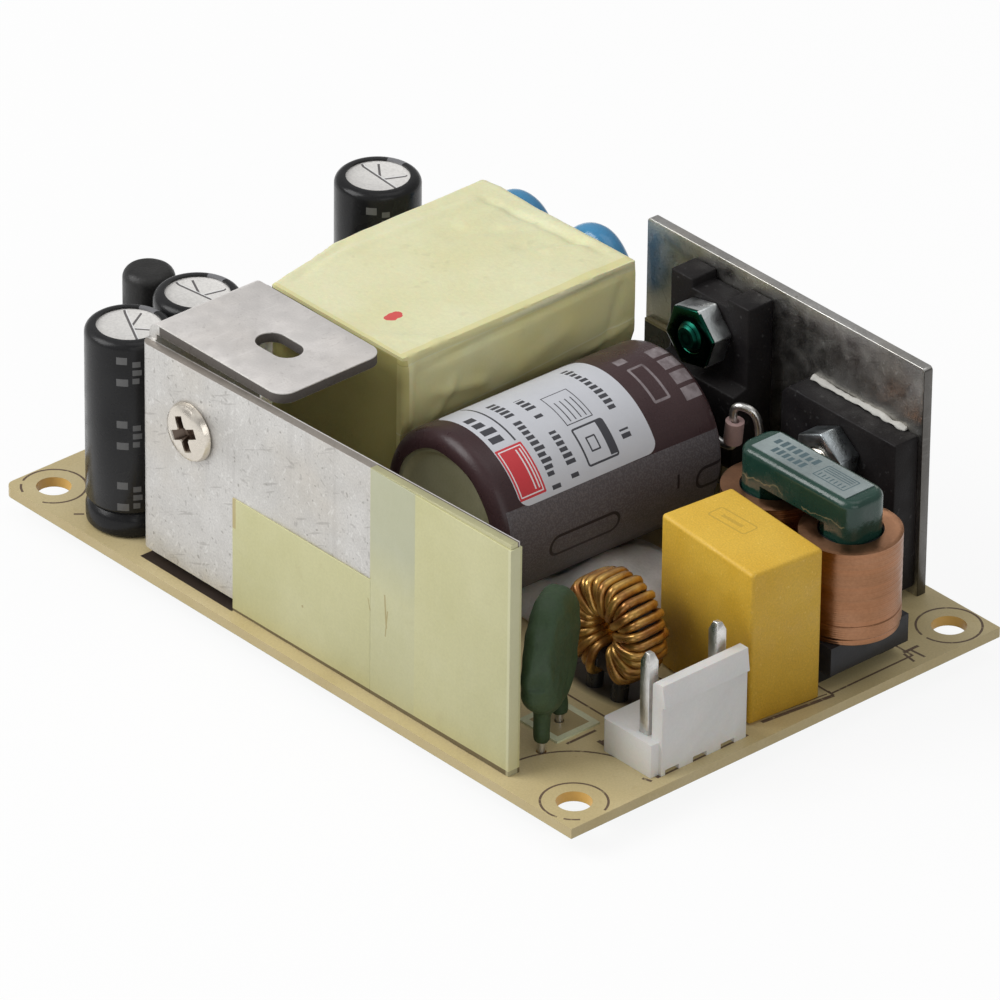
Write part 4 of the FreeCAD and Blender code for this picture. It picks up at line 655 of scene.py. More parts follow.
def paintWrap(tree, spot, colour, rough):
    x, y, z = inMillimetres(tree, spot)
    low, high = [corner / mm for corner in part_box("transformer_tape")]
    dot = [calc(tree, "DIVIDE", calc(tree, "SUBTRACT", value, middle), half)
           for value, middle, half in zip((x, y), wrapMarks["dotAt"], wrapMarks["dotSize"])]
    away = calc(tree, "ADD", calc(tree, "POWER", dot[0], 2.0), calc(tree, "POWER", dot[1], 2.0))
    ragged = calc(tree, "ADD", away, spread(tree, cloud(tree, spot, 1.5), 0.3, 0.7, -0.35, 0.35))
    red = allOf(tree, calc(tree, "LESS_THAN", ragged, 1.0), calc(tree, "GREATER_THAN", z, high.z - 1.0))
    # painted shade: the -Y face is darkened to olive below its top edge
    near = allOf(tree, calc(tree, "LESS_THAN", y, low.y + 0.5), calc(tree, "LESS_THAN", z, high.z - 0.35))
    colour = tinted(tree, colour, near, 0.85, wrapMarks["shadedNearSide"])
    # painted shade: near black on the -Y face where it lies deep behind the sink, below the flange
    shadeBehind = allOf(tree, near, spread(tree, x, *wrapMarks["sinkEnd"]), spread(tree, z, *wrapMarks["sinkTop"]))
    colour = tinted(tree, colour, shadeBehind, 0.75, wrapMarks["shadeBehindSink"])
    wide = wrapMarks["brimWide"]
    brim = anyOf(tree, allOf(tree, between(tree, y, low.y - 1, low.y + wide),
                             calc(tree, "GREATER_THAN", z, high.z - 0.35)),
                 between(tree, x, high.x - wide, high.x + 0.5))
    brim = allOf(tree, brim, calc(tree, "GREATER_THAN", z, high.z - wrapMarks["brimDeep"]))
    colour = tinted(tree, colour, brim, 0.5, wrapMarks["brim"])
    # painted shading: the +X side is tinted a deeper yellow in patches
    side = calc(tree, "GREATER_THAN", x, high.x - wide)
    patches = spread(tree, cloud(tree, spot, 0.14, 3.0), 0.38, 0.62, 0.35, 0.9)
    below = calc(tree, "LESS_THAN", z, high.z - 0.9)
    colour = mixColour(tree, allOf(tree, side, below, patches), colour, wrapMarks["sideShadingTone"])
    level = calc(tree, "SUBTRACT", z, calc(tree, "MULTIPLY", y, wrapMarks["seamSlope"]))
    seam = allOf(tree, between(tree, level, *wrapMarks["seam"]), side)
    colour = tinted(tree, colour, seam, 0.5, wrapMarks["seamPale"])
    # painted shade: the +X side below the seam is darkened a little
    under = allOf(tree, side, calc(tree, "LESS_THAN", level, wrapMarks["seam"][0]))
    colour = tinted(tree, colour, under, 0.15, wrapMarks["shadeBelowSeam"])
    shade = allOf(tree, side, calc(tree, "LESS_THAN", level, wrapMarks["shadeTop"]),
                  spread(tree, cloud(tree, spot, 0.12, 2.0), 0.45, 0.75, 0.0, 0.22))
    colour = mixColour(tree, shade, colour, wrapMarks["shade"])
    return mixColour(tree, red, colour, wrapMarks["dot"]), rough


# turn of the big capacitor on the board, and its label's reach round it, in degrees
sleeveGeometry = {"turn": -1.15, "labelLow": 25.0, "labelHigh": 122.0}
# print fields of the big capacitor, as millimetres along it and degrees round it
labelMarks = {
    "slots": [((-7.7, -17), (0.5, -1), 1.1, 0.3), ((9.3, -13), (17.0, 3), 1.1, 0.3), ((7.1, -5), (7.35, 5))],
    "pale": [((7.1, 52), (9.0, 82), 0.2, 0.26), ((6.9, 88), (8.1, 94))],
    "bars": [46, 58, 70, 82], "barReach": (10.3, 12.2), "barWide": 9,
    "words": [((-9.9, 69), (-8.4, 98), 1.15), ((-6.6, 28), (-5.5, 112), 0.62), ((-4.3, 30), (-3.2, 62), 0.62),
              ((-4.3, 74), (-3.2, 96), 0.62), ((2.3, 35), (3.3, 46), 0.7), ((2.6, 60), (3.5, 108), 0.66)],
    "dark": [((-7.75, 66), (-7.55, 119)), ((-2.2, 32), (1.4, 58), 0.3, 0.2), ((0.5, 34), (1.3, 57)),
             ((-1.3, 40), (-0.2, 50), 0.1, 0.16), ((-2.2, 61), (0.8, 88), 0.0, 0.1)],
    "lines": [-1.6, -1.0, -0.4, 0.2], "lineReach": (63, 80), "lineWide": 0.12,
    "label": (-10.4, 5.4), "bandEdge": 25.0, "bandSlope": -0.018, "bandLow": -60, "bandEnds": (0.9, 0.5),
    "bandGreys": ((0.105, 0.094, 0.10), (0.15, 0.136, 0.145)), "slotDark": (0.025, 0.018, 0.02),
    "paleInk": (0.62, 0.56, 0.58), "silvers": ((0.56, 0.57, 0.61), (0.64, 0.65, 0.69)),
    "darkInk": (0.06, 0.06, 0.07), "redInk": (0.60, 0.05, 0.06), "redPale": (0.80, 0.76, 0.77),
    "red": ((-10.3, 29), (-7.3, 64), 0.1),
    "inRed": [((-10.1, 30.5), (-7.5, 62.5), 0.1, 0.12), ((-8.35, 33), (-8.2, 60)), ((-7.95, 33), (-7.8, 60))]}


def bulkPlace():
    low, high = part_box("bulk_sleeve")
    radius = (high.z - low.z) / 2 / mm
    turn = math.radians(abs(sleeveGeometry["turn"]))
    length = ((high.y - low.y) / mm - 2 * radius * math.sin(turn)) / math.cos(turn)
    return (low + high) / 2, radius, length


def paintSleeve(tree, spot, colour, rough):
    centre, radius, length = bulkPlace()
    local = addNode(tree, "VectorMath", {0: spot, 1: tuple(centre)}, operation="SUBTRACT").outputs[0]
    local = addNode(tree, "VectorRotate", {"Vector": local, "Axis": (0.0, 0.0, 1.0),
                                           "Angle": -math.radians(sleeveGeometry["turn"])}).outputs[0]
    x, s, z = inMillimetres(tree, local)
    angle = calc(tree, "ARCTAN2", z, x)
    v = calc(tree, "MULTIPLY", angle, radius)
    out = calc(tree, "SQRT", calc(tree, "ADD", calc(tree, "POWER", x, 2.0), calc(tree, "POWER", z, 2.0)))
    side = calc(tree, "GREATER_THAN", out, radius - 0.6)

    def deg(value):
        return math.radians(value) * radius

    def field(low, high, *more):
        return patch(tree, s, v, (low[0], deg(low[1])), (high[0], deg(high[1])), *more)

    def words(low, high, cell):
        return wordBlocks(tree, s, v, (low[0], deg(low[1])), (high[0], deg(high[1])), cell)

    slope = calc(tree, "MULTIPLY", s, labelMarks["bandSlope"])
    band = calc(tree, "LESS_THAN", v, calc(tree, "ADD", deg(labelMarks["bandEdge"]), slope))
    near, far = labelMarks["bandEnds"]
    band = allOf(tree, band, calc(tree, "GREATER_THAN", v, deg(labelMarks["bandLow"])),
                 between(tree, s, -length / 2 + near, length / 2 - far))
    slots = anyOf(tree, *[field(*mark) for mark in labelMarks["slots"]])
    grey = mixColour(tree, spread(tree, cloud(tree, spot, 6.0, 1.0), 0.45, 0.6), *labelMarks["bandGreys"])
    colour = mixColour(tree, band, colour, grey)
    colour = mixColour(tree, slots, colour, labelMarks["slotDark"])
    near, far = labelMarks["barReach"]
    bars = [field((near, angle), (far, angle + labelMarks["barWide"])) for angle in labelMarks["bars"]]
    pale = anyOf(tree, *[field(*mark) for mark in labelMarks["pale"]], *bars)
    ink = spread(tree, cloud(tree, spot, 1.1, 3.0), 0.3, 0.6, 0.15, 0.38)
    colour = mixColour(tree, allOf(tree, pale, side, ink), colour, labelMarks["paleInk"])
    near, far = labelMarks["label"]
    label = allOf(tree, field((near, sleeveGeometry["labelLow"]), (far, sleeveGeometry["labelHigh"]), 1.1),
                  side)
    silver = mixColour(tree, cloud(tree, spot, 0.5, 3.0), *labelMarks["silvers"])
    colour = mixColour(tree, label, colour, silver)
    start, end = labelMarks["lineReach"]
    lines = [field((place, start), (place + labelMarks["lineWide"], end)) for place in labelMarks["lines"]]
    dark = anyOf(tree, *[words(*mark) for mark in labelMarks["words"]],
                 *[field(*mark) for mark in labelMarks["dark"]], *lines)
    colour = mixColour(tree, allOf(tree, dark, label), colour, labelMarks["darkInk"])
    red = allOf(tree, field(*labelMarks["red"]), label)
    inner = anyOf(tree, *[field(*mark) for mark in labelMarks["inRed"]])
    colour = mixColour(tree, red, colour, labelMarks["redInk"])
    colour = mixColour(tree, allOf(tree, red, inner), colour, labelMarks["redPale"])
    rough = mixColour(tree, label, rough, (0.42, 0.42, 0.42))
    return colour, mixColour(tree, band, rough, (0.5, 0.5, 0.5))


# score lines drawn as dark strokes that stand for the shade in their grooves, with painted highlights along
# them
canTopMarks = {"cuts": [((-2.6, 1.0), (2.6, -0.6), 0.22), ((0.1, 0.2), (-1.5, 2.1), 0.22),
                        ((0.4, 0.0), (1.9, 1.9), 0.22)],
               "glints": [((-2.6, 1.18), (2.6, -0.42), 0.1), ((0.3, 0.2), (1.7, 1.95), 0.1)],
               "cut": (0.16, 0.15, 0.15), "glint": (0.95, 0.95, 0.95)}


def paintCanTop(tree, spot, colour, rough):
    flat = addNode(tree, "UVMap", uv_map="topFace").outputs[0]
    x, y, _ = inMillimetres(tree, flat)
    cuts = anyOf(tree, *[stroke(tree, x, y, *mark) for mark in canTopMarks["cuts"]])
    glints = anyOf(tree, *[stroke(tree, x, y, *mark) for mark in canTopMarks["glints"]])
    colour = mixColour(tree, cuts, colour, canTopMarks["cut"])
    return mixColour(tree, glints, colour, canTopMarks["glint"]), rough


# print of the standing capacitors, as millimetres round the sleeve and up it
printMarks = {"starts": (3.0, 9.3, 15.8), "wideRow": (-1.3, -0.2), "thinRow": (0.15, 1.0),
              "stripe": (9.0, 11.2), "stripeFoot": 0.5, "dash": ((1.4, 9.8), (3.6, 10.4)), "dashEvery": 5.0,
              "grey": (0.20, 0.20, 0.21), "dark": (0.03, 0.03, 0.03), "pale": (0.30, 0.30, 0.30)}


def paintSleevePrint(tree, spot, colour, rough):
    flat = addNode(tree, "UVMap", uv_map="around").outputs[0]
    u, v, _ = inMillimetres(tree, flat)
    wide, thin = printMarks["wideRow"], printMarks["thinRow"]
    marks = []
    for start in printMarks["starts"]:
        marks.append(wordBlocks(tree, u, v, (wide[0], start), (wide[1], start + 3.3), 1.1))
        marks.append(wordBlocks(tree, u, v, (thin[0], start - 0.6), (thin[1], start + 3.6), 0.84))
    stripe = allOf(tree, between(tree, u, *printMarks["stripe"]),
                   calc(tree, "GREATER_THAN", v, printMarks["stripeFoot"]))
    rise = calc(tree, "FLOORED_MODULO", v, printMarks["dashEvery"])
    dashes = patch(tree, rise, u, *printMarks["dash"])
    colour = mixColour(tree, stripe, colour, printMarks["grey"])
    colour = mixColour(tree, allOf(tree, dashes, stripe), colour, printMarks["dark"])
    return tinted(tree, colour, anyOf(tree, *marks), 0.5, printMarks["pale"]), rough


# green lacquer on the middle nut, and the nut furthest to the right
nutMarks = {"reach": 3.1, "ragged": 0.2, "deep": 0.3, "lacquer": (0.006, 0.055, 0.035),
            "rightNut": (0.20, 0.23, 0.25)}


def paintNut(tree, spot, colour, rough):
    x, y, z = inMillimetres(tree, spot)
    low, high = solidBoxes("nuts")[1]
    middle = (low + high) / 2 / mm
    away = calc(tree, "SQRT", calc(tree, "ADD", calc(tree, "POWER", calc(tree, "SUBTRACT", x, middle.x), 2.0),
                                   calc(tree, "POWER", calc(tree, "SUBTRACT", z, middle.z), 2.0)))
    rag = nutMarks["ragged"]
    ragged = calc(tree, "ADD", away, spread(tree, cloud(tree, spot, 0.7), 0.3, 0.7, -rag, rag))
    wet = allOf(tree, calc(tree, "LESS_THAN", ragged, nutMarks["reach"]),
                calc(tree, "LESS_THAN", y, low.y / mm + nutMarks["deep"]), calc(tree, "GREATER_THAN", y, 0.0))
    rough = mixColour(tree, wet, rough, (0.12, 0.12, 0.12))
    far = calc(tree, "GREATER_THAN", x, high.x / mm + 3.0)
    colour = tinted(tree, colour, far, 0.7, nutMarks["rightNut"])
    return mixColour(tree, wet, colour, nutMarks["lacquer"]), rough


screws = {"head": 5.6, "headHeight": 1.0, "shank": 2.9, "pitch": 0.5, "cross": 4.7, "crossWidth": 1.15,
          "crossBlock": 1.6, "crossLift": -0.1, "crossTurn": 24, "crossTaper": (0.42, 0.6),
          "coneFoot": 0.35, "coneTop": 0.95, "coneDepth": 1.5, "coneDown": 0.45,
          "recessShade": (-0.4, 0.16), "recessReach": 1.8, "recessShadeColour": (0.14, 0.095, 0.07),
          "ringRate": 9.0, "lacquers": ((0.004, 0.05, 0.035), (0.012, 0.12, 0.08))}


def paintScrew(tree, spot, colour, rough):
    local = inMillimetres(tree, addNode(tree, "UVMap", uv_map="head").outputs[0])
    # painted shade: the cross recess is darkened brown
    bottom, down = screws["recessShade"]
    recessShade = allOf(tree, between(tree, local[0], bottom, screws["headHeight"] - down),
                   calc(tree, "LESS_THAN", local[1], screws["recessReach"]))
    colour = tinted(tree, colour, recessShade, 0.9, screws["recessShadeColour"])
    x, y, _ = inMillimetres(tree, spot)
    nut = solidBoxes("nuts")[1]
    wet = allOf(tree, between(tree, x, nut[0].x / mm, nut[1].x / mm),
                between(tree, y, nut[0].y / mm - 2, nut[1].y / mm))
    wave = calc(tree, "SINE", calc(tree, "MULTIPLY", local[1], screws["ringRate"]))
    rings = calc(tree, "ADD", calc(tree, "MULTIPLY", wave, 0.5), 0.5)
    colour = mixColour(tree, wet, colour, mixColour(tree, rings, *screws["lacquers"]))
    return colour, mixColour(tree, anyOf(tree, wet, recessShade), rough, (0.35, 0.35, 0.35))


filmRim = {"wide": 0.75, "outside": 0.1, "middle": (0.40, 0.33, 0.18)}


def paintFilm(tree, spot, colour, rough):
    x, y, _ = inMillimetres(tree, spot)
    low, high = [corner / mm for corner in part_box("thermistor_film")]
    out = filmRim["outside"]
    rim = patch(tree, x, y, (low.x - out, low.y - out), (high.x + out, high.y + out), 0.0, filmRim["wide"])
    colour = mixColour(tree, rim, filmRim["middle"], colour)
    return colour, mixColour(tree, rim, rough, (0.15, 0.15, 0.15))


copperRows = {"perMm": 3.4, "deep": (0.40, 0.17, 0.08)}


def paintCopper(tree, spot, colour, rough):
    z = inMillimetres(tree, spot)[2]
    row = calc(tree, "FLOOR", calc(tree, "MULTIPLY", z, copperRows["perMm"]))
    rows = addNode(tree, "TexWhiteNoise", {"W": row}, noise_dimensions="1D").outputs[0]
    return mixColour(tree, spread(tree, rows, 0.2, 1.0, 0.0, 0.3), colour, copperRows["deep"]), rough


# places across and along the sticker, in millimetres, those along it from its near end
stickerMarks = {"frame": ((-1.05, 5.0), (1.05, 1.0), 0.1, 0.12), "bars": (0.05, 0.35, 0.65),
                "barReach": (4.7, 1.3),
                "ticks": (4.6, 4.1, 3.6, 3.1, 2.6, 2.1, 1.6), "tickReach": (-0.8, -0.25), "barWide": 0.12,
                "tickWide": 0.16}


def paintSticker(tree, spot, colour, rough):
    x, y, _ = inMillimetres(tree, spot)
    low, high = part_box("choke_sticker")
    end = (high.x - low.x) / mm
    x = calc(tree, "SUBTRACT", x, low.x / mm)
    y = calc(tree, "SUBTRACT", y, (low.y + high.y) / 2 / mm)
    near, far, corner, line = stickerMarks["frame"]
    marks = [wordBlocks(tree, y, x, (0.1, 0.8), (1.1, end - 5.6), 0.8),
             wordBlocks(tree, y, x, (-1.1, 1.0), (-0.2, end - 5.4), 0.7),
             patch(tree, y, x, (near[0], end - near[1]), (far[0], end - far[1]), corner, line)]
    start, stop = stickerMarks["barReach"]
    for side in stickerMarks["bars"]:
        marks.append(patch(tree, y, x, (side, end - start), (side + stickerMarks["barWide"], end - stop)))
    left, right = stickerMarks["tickReach"]
    for step in stickerMarks["ticks"]:
        marks.append(patch(tree, y, x, (left, end - step), (right, end - step + stickerMarks["tickWide"])))
    return mixColour(tree, anyOf(tree, *marks), colour, (0.10, 0.16, 0.18)), rough


boxMarks = {"frame": ((25.5, 1.4), (30.3, 3.3), 0.4, 0.18), "line": ((26.6, 2.1), (29.2, 2.5), 0.1),
            "ink": (0.50, 0.31, 0.04)}


def paintBox(tree, spot, colour, rough):
    x, y, z = inMillimetres(tree, spot)
    top = calc(tree, "GREATER_THAN", z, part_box("box_capacitor")[1].z / mm - 0.2)
    mark = anyOf(tree, patch(tree, x, y, *boxMarks["frame"]), patch(tree, x, y, *boxMarks["line"]))
    return mixColour(tree, allOf(tree, top, mark, 0.6), colour, boxMarks["ink"]), rough


# a ragged line of dried varnish under the top of the choke's core
varnish = {"below": (2.65, 2.50), "ragged": 0.5, "endGap": 0.9, "middleGap": 1.2,
           "brown": (0.30, 0.25, 0.13)}


def paintGreenCore(tree, spot, colour, rough):
    x, y, z = inMillimetres(tree, spot)
    low, high = [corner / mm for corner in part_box("choke_core")]
    rag = varnish["ragged"]
    level = calc(tree, "ADD", z, spread(tree, cloud(tree, spot, 0.5), 0.3, 0.7, -rag, rag))
    off = calc(tree, "ABSOLUTE", calc(tree, "SUBTRACT", x, (low.x + high.x) / 2))
    deep, shallow = varnish["below"]
    line = allOf(tree, between(tree, level, high.z - deep, high.z - shallow),
                 calc(tree, "LESS_THAN", x, high.x - varnish["endGap"]),
                 calc(tree, "GREATER_THAN", off, varnish["middleGap"]),
                 calc(tree, "LESS_THAN", y, (low.y + high.y) / 2))
    return tinted(tree, colour, line, 0.45, varnish["brown"]), rough


def paintSheet(tree, spot, colour, rough):
    z = inMillimetres(tree, spot)[2]
    # painted highlight: a beige band along the black sheet's top edge
    rim = calc(tree, "GREATER_THAN", z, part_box("insulator_sheet")[1].z / mm - 0.3)
    return mixColour(tree, rim, colour, (0.42, 0.35, 0.20)), rough


def makeFinishes():
    makeFinish("boardTan", {"base": (0.56, 0.455, 0.235), "second": (0.62, 0.515, 0.285),
                            "rough": (0.32, 0.5), "patch": 0.12, "grain": 5.0, "mottle": 0.06, "bump": 0.12,
                            "fleck": (0.50, 0.38, 0.18), "fleckSize": 1.1, "fleckShare": 0.35}, paintBoard)
    makeFinish("sinkAluminium", metal((0.62, 0.605, 0.58), (0.67, 0.655, 0.63), (0.40, 0.56), patch=0.35,
                                      grain=5.0, mottle=0.10, bump=0.2, scratch=0.2,
                                      scratchWay=(1.2, 1.2, 0.06), scratchColour=(0.45, 0.43, 0.41),
                                      shader={"Metallic": 0.62}), paintSink)
    makeFinish("sinkAluminiumBack", metal((0.41, 0.40, 0.38), (0.60, 0.59, 0.57), (0.28, 0.44), patch=0.16,
                                          grain=5.0, mottle=0.10, bump=0.25, scratch=0.45,
                                          scratchWay=(0.9, 0.05, 0.12), scratchColour=(0.70, 0.68, 0.64)),
               paintSink)
    makeFinish("tapeYellow", {"base": (0.58, 0.56, 0.30), "second": (0.64, 0.62, 0.36), "rough": (0.42, 0.6),
                              "patch": 0.07, "grain": 4.0, "mottle": 0.03, "bump": 0.15, "waveDepth": 6.0,
                              "fleck": (0.45, 0.38, 0.2), "fleckSize": 0.5, "fleckShare": 0.12}, paintTape,
               tapeRelief)
    makeFinish("tapeWrap", {"base": (0.78, 0.755, 0.45), "second": (0.83, 0.81, 0.53), "rough": (0.30, 0.5),
                            "patch": 0.10, "grain": 3.0, "mottle": 0.03, "bump": 0.2, "waveDepth": 5.0,
                            "fleck": (0.4, 0.36, 0.2), "fleckSize": 0.6, "fleckShare": 0.15,
                            "shader": {"Subsurface Weight": 0.15, "Subsurface Scale": 0.0006}}, paintWrap)
    makeFinish("screwNickel", metal((0.66, 0.60, 0.52), (0.76, 0.71, 0.63), (0.22, 0.36), bump=0.15),
               paintScrew)
    makeFinish("nutZinc", metal((0.58, 0.62, 0.62), (0.70, 0.72, 0.72), (0.26, 0.42), bump=0.2, patch=0.5),
               paintNut)
    makeFinish("padGrey", {"base": (0.42, 0.42, 0.40), "second": (0.48, 0.48, 0.46), "rough": (0.6, 0.8)})
    makeFinish("tinnedLead", metal((0.55, 0.54, 0.52), (0.68, 0.67, 0.65), (0.25, 0.42), patch=0.8, bump=0.2))
    makeFinish("mouldedBlack", {"base": (0.008, 0.007, 0.008), "second": (0.016, 0.014, 0.014),
                                "rough": (0.42, 0.6), "grain": 7.0, "mottle": 0.2, "bump": 0.3,
                                "fleck": (0.10, 0.10, 0.10), "fleckSize": 2.0, "fleckShare": 0.3,
                                "shader": {"Specular IOR Level": 0.16}})
    makeFinish("pasteWhite", {"base": (0.46, 0.45, 0.42), "second": (0.60, 0.59, 0.55), "rough": (0.5, 0.7),
                              "bump": 0.6})
    makeFinish("filmBlack", {"base": (0.02, 0.02, 0.02), "second": (0.035, 0.035, 0.035),
                             "rough": (0.25, 0.4)}, paintSheet)
    makeFinish("ferriteDark", {"base": (0.05, 0.045, 0.045), "second": (0.08, 0.07, 0.065),
                               "rough": (0.5, 0.7), "bump": 0.4, "shader": {"Specular IOR Level": 0.3}})
    makeFinish("nylonBlack", {"base": (0.014, 0.014, 0.016), "second": (0.024, 0.024, 0.026),
                              "rough": (0.35, 0.5), "bump": 0.15, "shader": {"Specular IOR Level": 0.3}})
    makeFinish("copperWire", metal((0.27, 0.132, 0.068), (0.35, 0.18, 0.10), (0.28, 0.42), patch=0.3,
                                   mottle=0.08, bump=0.1), paintCopper)
    makeFinish("canAluminium", metal((0.84, 0.82, 0.79), (0.90, 0.88, 0.85), (0.30, 0.42), bump=0.2,
                                     mottle=0.08, shader={"Metallic": 0.3}), paintCanTop)
    makeFinish("canEnd", {"base": (0.34, 0.33, 0.20), "second": (0.42, 0.41, 0.27), "rough": (0.35, 0.5),
                          "bump": 0.2, "shader": {"Metallic": 0.3}})
    makeFinish("sleeveBrown", {"base": (0.044, 0.022, 0.024), "second": (0.062, 0.034, 0.036),
                               "rough": (0.26, 0.38), "patch": 0.1, "grain": 6.0, "mottle": 0.1,
                               "bump": 0.12, "shader": {"Specular IOR Level": 0.3}}, paintSleeve)
    makeFinish("bungRubber", {"base": (0.03, 0.03, 0.03), "second": (0.05, 0.05, 0.05), "rough": (0.6, 0.8)})
    makeFinish("sleevePink", {"base": (0.42, 0.28, 0.27), "second": (0.50, 0.34, 0.32), "rough": (0.4, 0.55)})
    makeFinish("sealantWhite",
               {"base": (0.54, 0.52, 0.49), "second": (0.84, 0.83, 0.81), "rough": (0.35, 0.55), "bump": 0.5,
                "shader": {"Subsurface Weight": 0.2, "Subsurface Scale": 0.001}})
    makeFinish("sleeveBlack", {"base": (0.012, 0.012, 0.013), "second": (0.022, 0.022, 0.023),
                               "rough": (0.2, 0.32), "bump": 0.1, "waveDepth": 1.5,
                               "shader": {"Specular IOR Level": 0.22}}, paintSleevePrint)
    makeFinish("tubeBlack", {"base": (0.012, 0.012, 0.013), "second": (0.025, 0.025, 0.026),
                             "rough": (0.2, 0.36), "bump": 0.15})
    makeFinish("rodBlack", {"base": (0.016, 0.016, 0.016), "second": (0.03, 0.029, 0.028),
                            "rough": (0.35, 0.55), "bump": 0.35, "mottle": 0.15,
                            "shader": {"Specular IOR Level": 0.3}})
    makeFinish("coatBlue", {"base": (0.05, 0.22, 0.42), "second": (0.07, 0.28, 0.50), "rough": (0.12, 0.25),
                            "bump": 0.15, "waveDepth": 3.0})
    makeFinish("coatGreen", {"base": (0.025, 0.053, 0.019), "second": (0.039, 0.075, 0.031),
                             "rough": (0.55, 0.7), "grain": 3.0, "bump": 0.5, "waveDepth": 3.0,
                             "mottle": 0.12, "fleck": (0.02, 0.05, 0.03), "fleckSize": 0.7})
    makeFinish("filmClear", {"base": (0.62, 0.66, 0.45), "second": (0.66, 0.66, 0.46), "rough": (0.12, 0.25),
                             "bump": 0.3, "waveDepth": 4.0}, paintFilm)
    makeFinish("wireAmber", metal((0.30, 0.12, 0.028), (0.60, 0.36, 0.09), (0.26, 0.40), patch=0.55,
                                  grain=3.0, mottle=0.12, bump=0.1,
                                  shader={"Metallic": 0.75, "Coat Weight": 0.3, "Coat Roughness": 0.15}))
    makeFinish("nylonWhite", {"base": (0.76, 0.75, 0.73), "second": (0.82, 0.81, 0.79), "rough": (0.38, 0.5),
                              "mottle": 0.02, "bump": 0.12,
                              "shader": {"Subsurface Weight": 0.15, "Subsurface Scale": 0.0008}})
    makeFinish("boxYellow", {"base": (0.70, 0.42, 0.035), "second": (0.76, 0.48, 0.055),
                             "rough": (0.45, 0.6), "grain": 6.0, "mottle": 0.09, "bump": 0.35,
                             "fleck": (0.86, 0.62, 0.16), "fleckSize": 3.0, "fleckShare": 0.5}, paintBox)
    makeFinish("coreGreen", {"base": (0.010, 0.040, 0.029), "second": (0.016, 0.060, 0.043),
                             "rough": (0.16, 0.3), "grain": 3.0, "bump": 0.25, "waveDepth": 2.0},
               paintGreenCore)
    makeFinish("stickerSilver",
               {"base": (0.28, 0.33, 0.33), "second": (0.40, 0.47, 0.47), "rough": (0.25, 0.4),
                "shader": {"Metallic": 0.4}}, paintSticker)
    makeFinish("fuseBrown", {"base": (0.045, 0.028, 0.02), "second": (0.06, 0.04, 0.03),
                             "rough": (0.35, 0.5)})
    makeFinish("solderBright", metal((0.62, 0.62, 0.60), (0.74, 0.74, 0.72), (0.14, 0.28), patch=0.7,
                                     bump=0.2))


makeFinishes()
print("finishes:", len(materials))

plainNodes = {
    "circuit_board": "boardTan", "rectifier_pad": "padGrey", "transistor_leads": "tinnedLead",
    "bridge_leads": "tinnedLead", "transformer_cores": "ferriteDark", "transformer_winding": "copperWire",
    "transformer_pins": "tinnedLead", "bulk_bung": "bungRubber", "bulk_label": "sleeveBrown",
    "capacitor_bungs": "bungRubber", "capacitor_leads": "tinnedLead", "rod_choke_leads": "tinnedLead",
    "safety_capacitor_leads": "tinnedLead", "thermistor_leads": "tinnedLead", "thermistor_film": "filmClear",
    "toroid_core": "ferriteDark", "box_capacitor_leads": "tinnedLead", "choke_pins": "tinnedLead",
    "choke_sticker": "stickerSilver", "fuse_leads": "tinnedLead", "coupler_leads": "tinnedLead",
    "insulator_sheet": "filmBlack", "chip_parts": "ferriteDark",
}
for node, name in plainNodes.items():
    mesh = nodes[node].data
    mesh.materials.clear()
    mesh.materials.append(materials[name])
print("plain nodes painted:", len(plainNodes))


# sinks, tapes, housings and other hard shapes with rounded edges

tabEnd = {"frontSink": -0.62 * mm}
edgeWork = [
    ("frontSink", "bent_heat_sink", "sinkAluminium", 0.08),
    ("backSink", "flat_heat_sink", "sinkAluminiumBack", 0.06),
    ("lowerTape", "lower_tape", "tapeYellow", 0.03), ("endTape", "end_tape", "tapeYellow", 0.04),
    ("transistor", "transistor_body", "mouldedBlack", 0.15), ("bridge", "bridge_body", "mouldedBlack", 0.15),
    ("rectifier", "rectifier_body", "mouldedBlack", 0.12),
    ("rectifierTab", "rectifier_frame", "tinnedLead", 0.06),
    ("inletHousing", "inlet_housing", "nylonWhite", 0.12),
    ("outletHousing", "outlet_housing", "nylonWhite", 0.12),
    ("headerPins", "header_pins", "tinnedLead", 0.08), ("chokeBase", "choke_bobbin", "nylonBlack", 0.12),
    ("transformerBobbin", "transformer_bobbin", "nylonBlack", 0.15),
    ("coupler", "coupler_body", "mouldedBlack", 0.08),
    ("fuseCase", "fuse_body", "fuseBrown", 0.05), ("controller", "controller_chip", "mouldedBlack", 0.04),
    ("nutSet", "nuts", "nutZinc", 0.18),
]
for name, node, material, width in edgeWork:
    softEdges(name, node, material, width)
addPiece("boxCapacitor", mergedCopy("box_capacitor"), "boxYellow", "box_capacitor", 40)
addPiece("chokeCore", mergedCopy("choke_core"), "coreGreen", "choke_core", 50)
addPiece("safetyCapacitors", pushed(mergedCopy("safety_capacitors"), 0.08, 0.3), "coatBlue",
         "safety_capacitors", 60)
print("hard shapes:", len(edgeWork) + 3)


# lying bulk capacitor

bulk = {"rim": 1.4, "lip": 1.75, "wall": 0.3, "dish": 0.55, "steps": 96, "lipWave": 0.022}


def bulkWay():
    centre = bulkPlace()[0]
    lay = Matrix.Rotation(math.radians(-90), 4, "X")
    return Matrix.Translation(centre) @ Matrix.Rotation(math.radians(sleeveGeometry["turn"]), 4, "Z") @ lay


